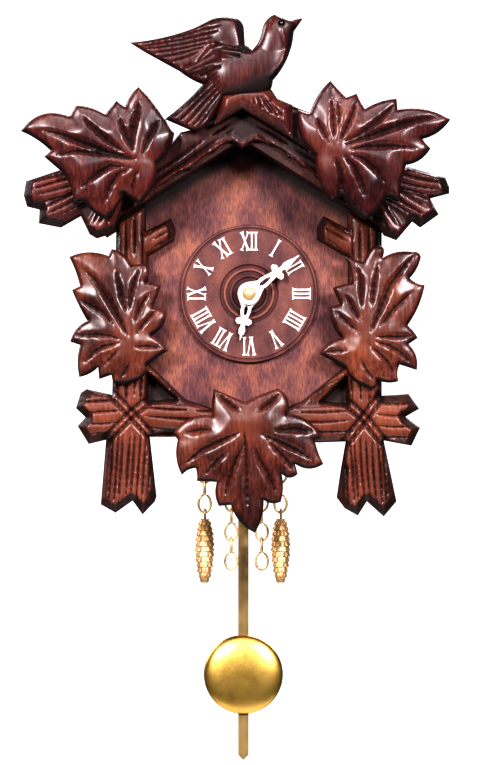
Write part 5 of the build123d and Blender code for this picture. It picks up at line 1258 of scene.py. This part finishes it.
for hand_side, (x, s) in CONE_PLACES.items():
    verts, faces = [], []
    around, tall = 56, SCALE_ROWS * RINGS_PER_SCALE
    for row in range(tall + 1):
        share = row / tall
        z = CONE_TIP + (CONE_TOP - CONE_TIP) * share
        level = share * SCALE_ROWS
        scale_row = math.floor(level)
        within = level - scale_row
        for k in range(around):
            turn = k / around * SCALES_ROUND + (scale_row % 2) * 0.5
            lobe = abs((turn % 1.0) - 0.5) * 2
            lip = (1 - within) ** 0.7 * (1 - 0.55 * lobe ** 2)
            taper = min(1.0, share * 9, (1 - share) * 14 + 0.4)
            radius = cone_radius(share) * (0.86 + 0.06 * lip) + 0.46 * lip * taper
            angle = 2 * math.pi * k / around
            verts.append((x + radius * math.cos(angle), s + radius * math.sin(angle), z))
    for row in range(tall):
        for k in range(around):
            n = (k + 1) % around
            faces.append([row * around + k, row * around + n, (row + 1) * around + n, (row + 1) * around + k])
    faces.append(list(reversed(range(around))))
    faces.append([tall * around + k for k in range(around)])
    eye = [(x + 0.1, s + (UPPER_WIDE / 2 - WIRE_R) * math.cos(math.radians(a)),
            CONE_HANG + CAD_WIRE - CONE_EYE_HIGH / 2 + (CONE_EYE_HIGH / 2 - WIRE_R) * math.sin(math.radians(a)))
           for a in range(0, 360, 15)]
    wire_tube(eye, True, verts, faces)
    cone_piece = make_object(f"cone_{hand_side}_scaled", verts, faces, CONE, 32)
    belongs(cone_piece, f"cone_{hand_side}", f"cone_{hand_side}")


# ------------------------------------------------------------------ floor, light and camera
CAMERA_FAR = 944.0
CAMERA_PLACE = (-2.61 * MM, -CAMERA_FAR * MM, -60.2 * MM)
SENSOR_HIGH = 24.0
VIEW_HIGH_AT_BOARD = 221.85
FLOOR_Z = -0.50
FLOOR_R = 0.4
FLOOR_COLOUR = (0.74, 0.73, 0.72, 1)
FILL = 0.05
camera_data = bpy.data.cameras.new("camera")
camera_data.sensor_fit = "VERTICAL"
camera_data.sensor_height = SENSOR_HIGH
camera_data.lens = SENSOR_HIGH * (CAMERA_FAR - BOARD_FRONT) / VIEW_HIGH_AT_BOARD
camera = bpy.data.objects.new("camera", camera_data)
camera.location = CAMERA_PLACE
camera.rotation_euler = (math.pi / 2, 0, 0)
bpy.context.collection.objects.link(camera)
bpy.context.scene.camera = camera

floor_material, _, floor_shader = new_material("floor")
floor_shader.inputs["Base Color"].default_value = FLOOR_COLOUR
floor_shader.inputs["Roughness"].default_value = 0.8
bpy.ops.mesh.primitive_circle_add(vertices=64, radius=FLOOR_R, fill_type="NGON", location=(0, 0, FLOOR_Z))
floor = bpy.context.object
floor.name = "floor"
floor.data.materials.append(floor_material)

world = bpy.data.worlds.new("studio")
bpy.context.scene.world = world
world.use_nodes = True
world_tree = world.node_tree
backdrop = world_tree.nodes["Background"]
backdrop.inputs["Color"].default_value = (1, 1, 1, 1)
backdrop.inputs["Strength"].default_value = 1.0
fill = world_tree.nodes.new("ShaderNodeBackground")
fill.inputs["Color"].default_value = (1, 1, 1, 1)
fill.inputs["Strength"].default_value = FILL
light_path = world_tree.nodes.new("ShaderNodeLightPath")
blend_shader = world_tree.nodes.new("ShaderNodeMixShader")
world_tree.links.new(light_path.outputs["Is Camera Ray"], blend_shader.inputs[0])
world_tree.links.new(fill.outputs[0], blend_shader.inputs[1])
world_tree.links.new(backdrop.outputs[0], blend_shader.inputs[2])
world_tree.links.new(blend_shader.outputs[0], world_tree.nodes["World Output"].inputs["Surface"])

AIM = Vector((0.0, -0.05, -0.06))
LIGHT_COLOUR = (1.0, 0.95, 0.98)
# Place in metres, diameter and power in watts.
LIGHTS = {
    "key_left": ((-0.44, -0.84, 0.28), 0.24, 8.5),
    "key_right": ((0.44, -0.84, 0.28), 0.24, 8.0),
    "high_soft": ((0.0, -0.62, 0.62), 0.40, 2.5),
    "rear_soft": ((0.25, 0.8, 0.4), 0.7, 8.0),
    "rear_left": ((-0.7, 0.45, 0.3), 0.6, 4.0),
}
for light_name, (spot, size, power) in LIGHTS.items():
    light_data = bpy.data.lights.new(light_name, "AREA")
    light_data.shape = "DISK"
    light_data.size = size
    light_data.energy = power
    light_data.color = LIGHT_COLOUR
    light = bpy.data.objects.new(light_name, light_data)
    light.location = spot
    light.rotation_euler = (AIM - Vector(spot)).to_track_quat("-Z", "Y").to_euler()
    bpy.context.collection.objects.link(light)
bpy.context.scene.view_settings.view_transform = "Standard"
bpy.context.scene.view_settings.look = "High Contrast"
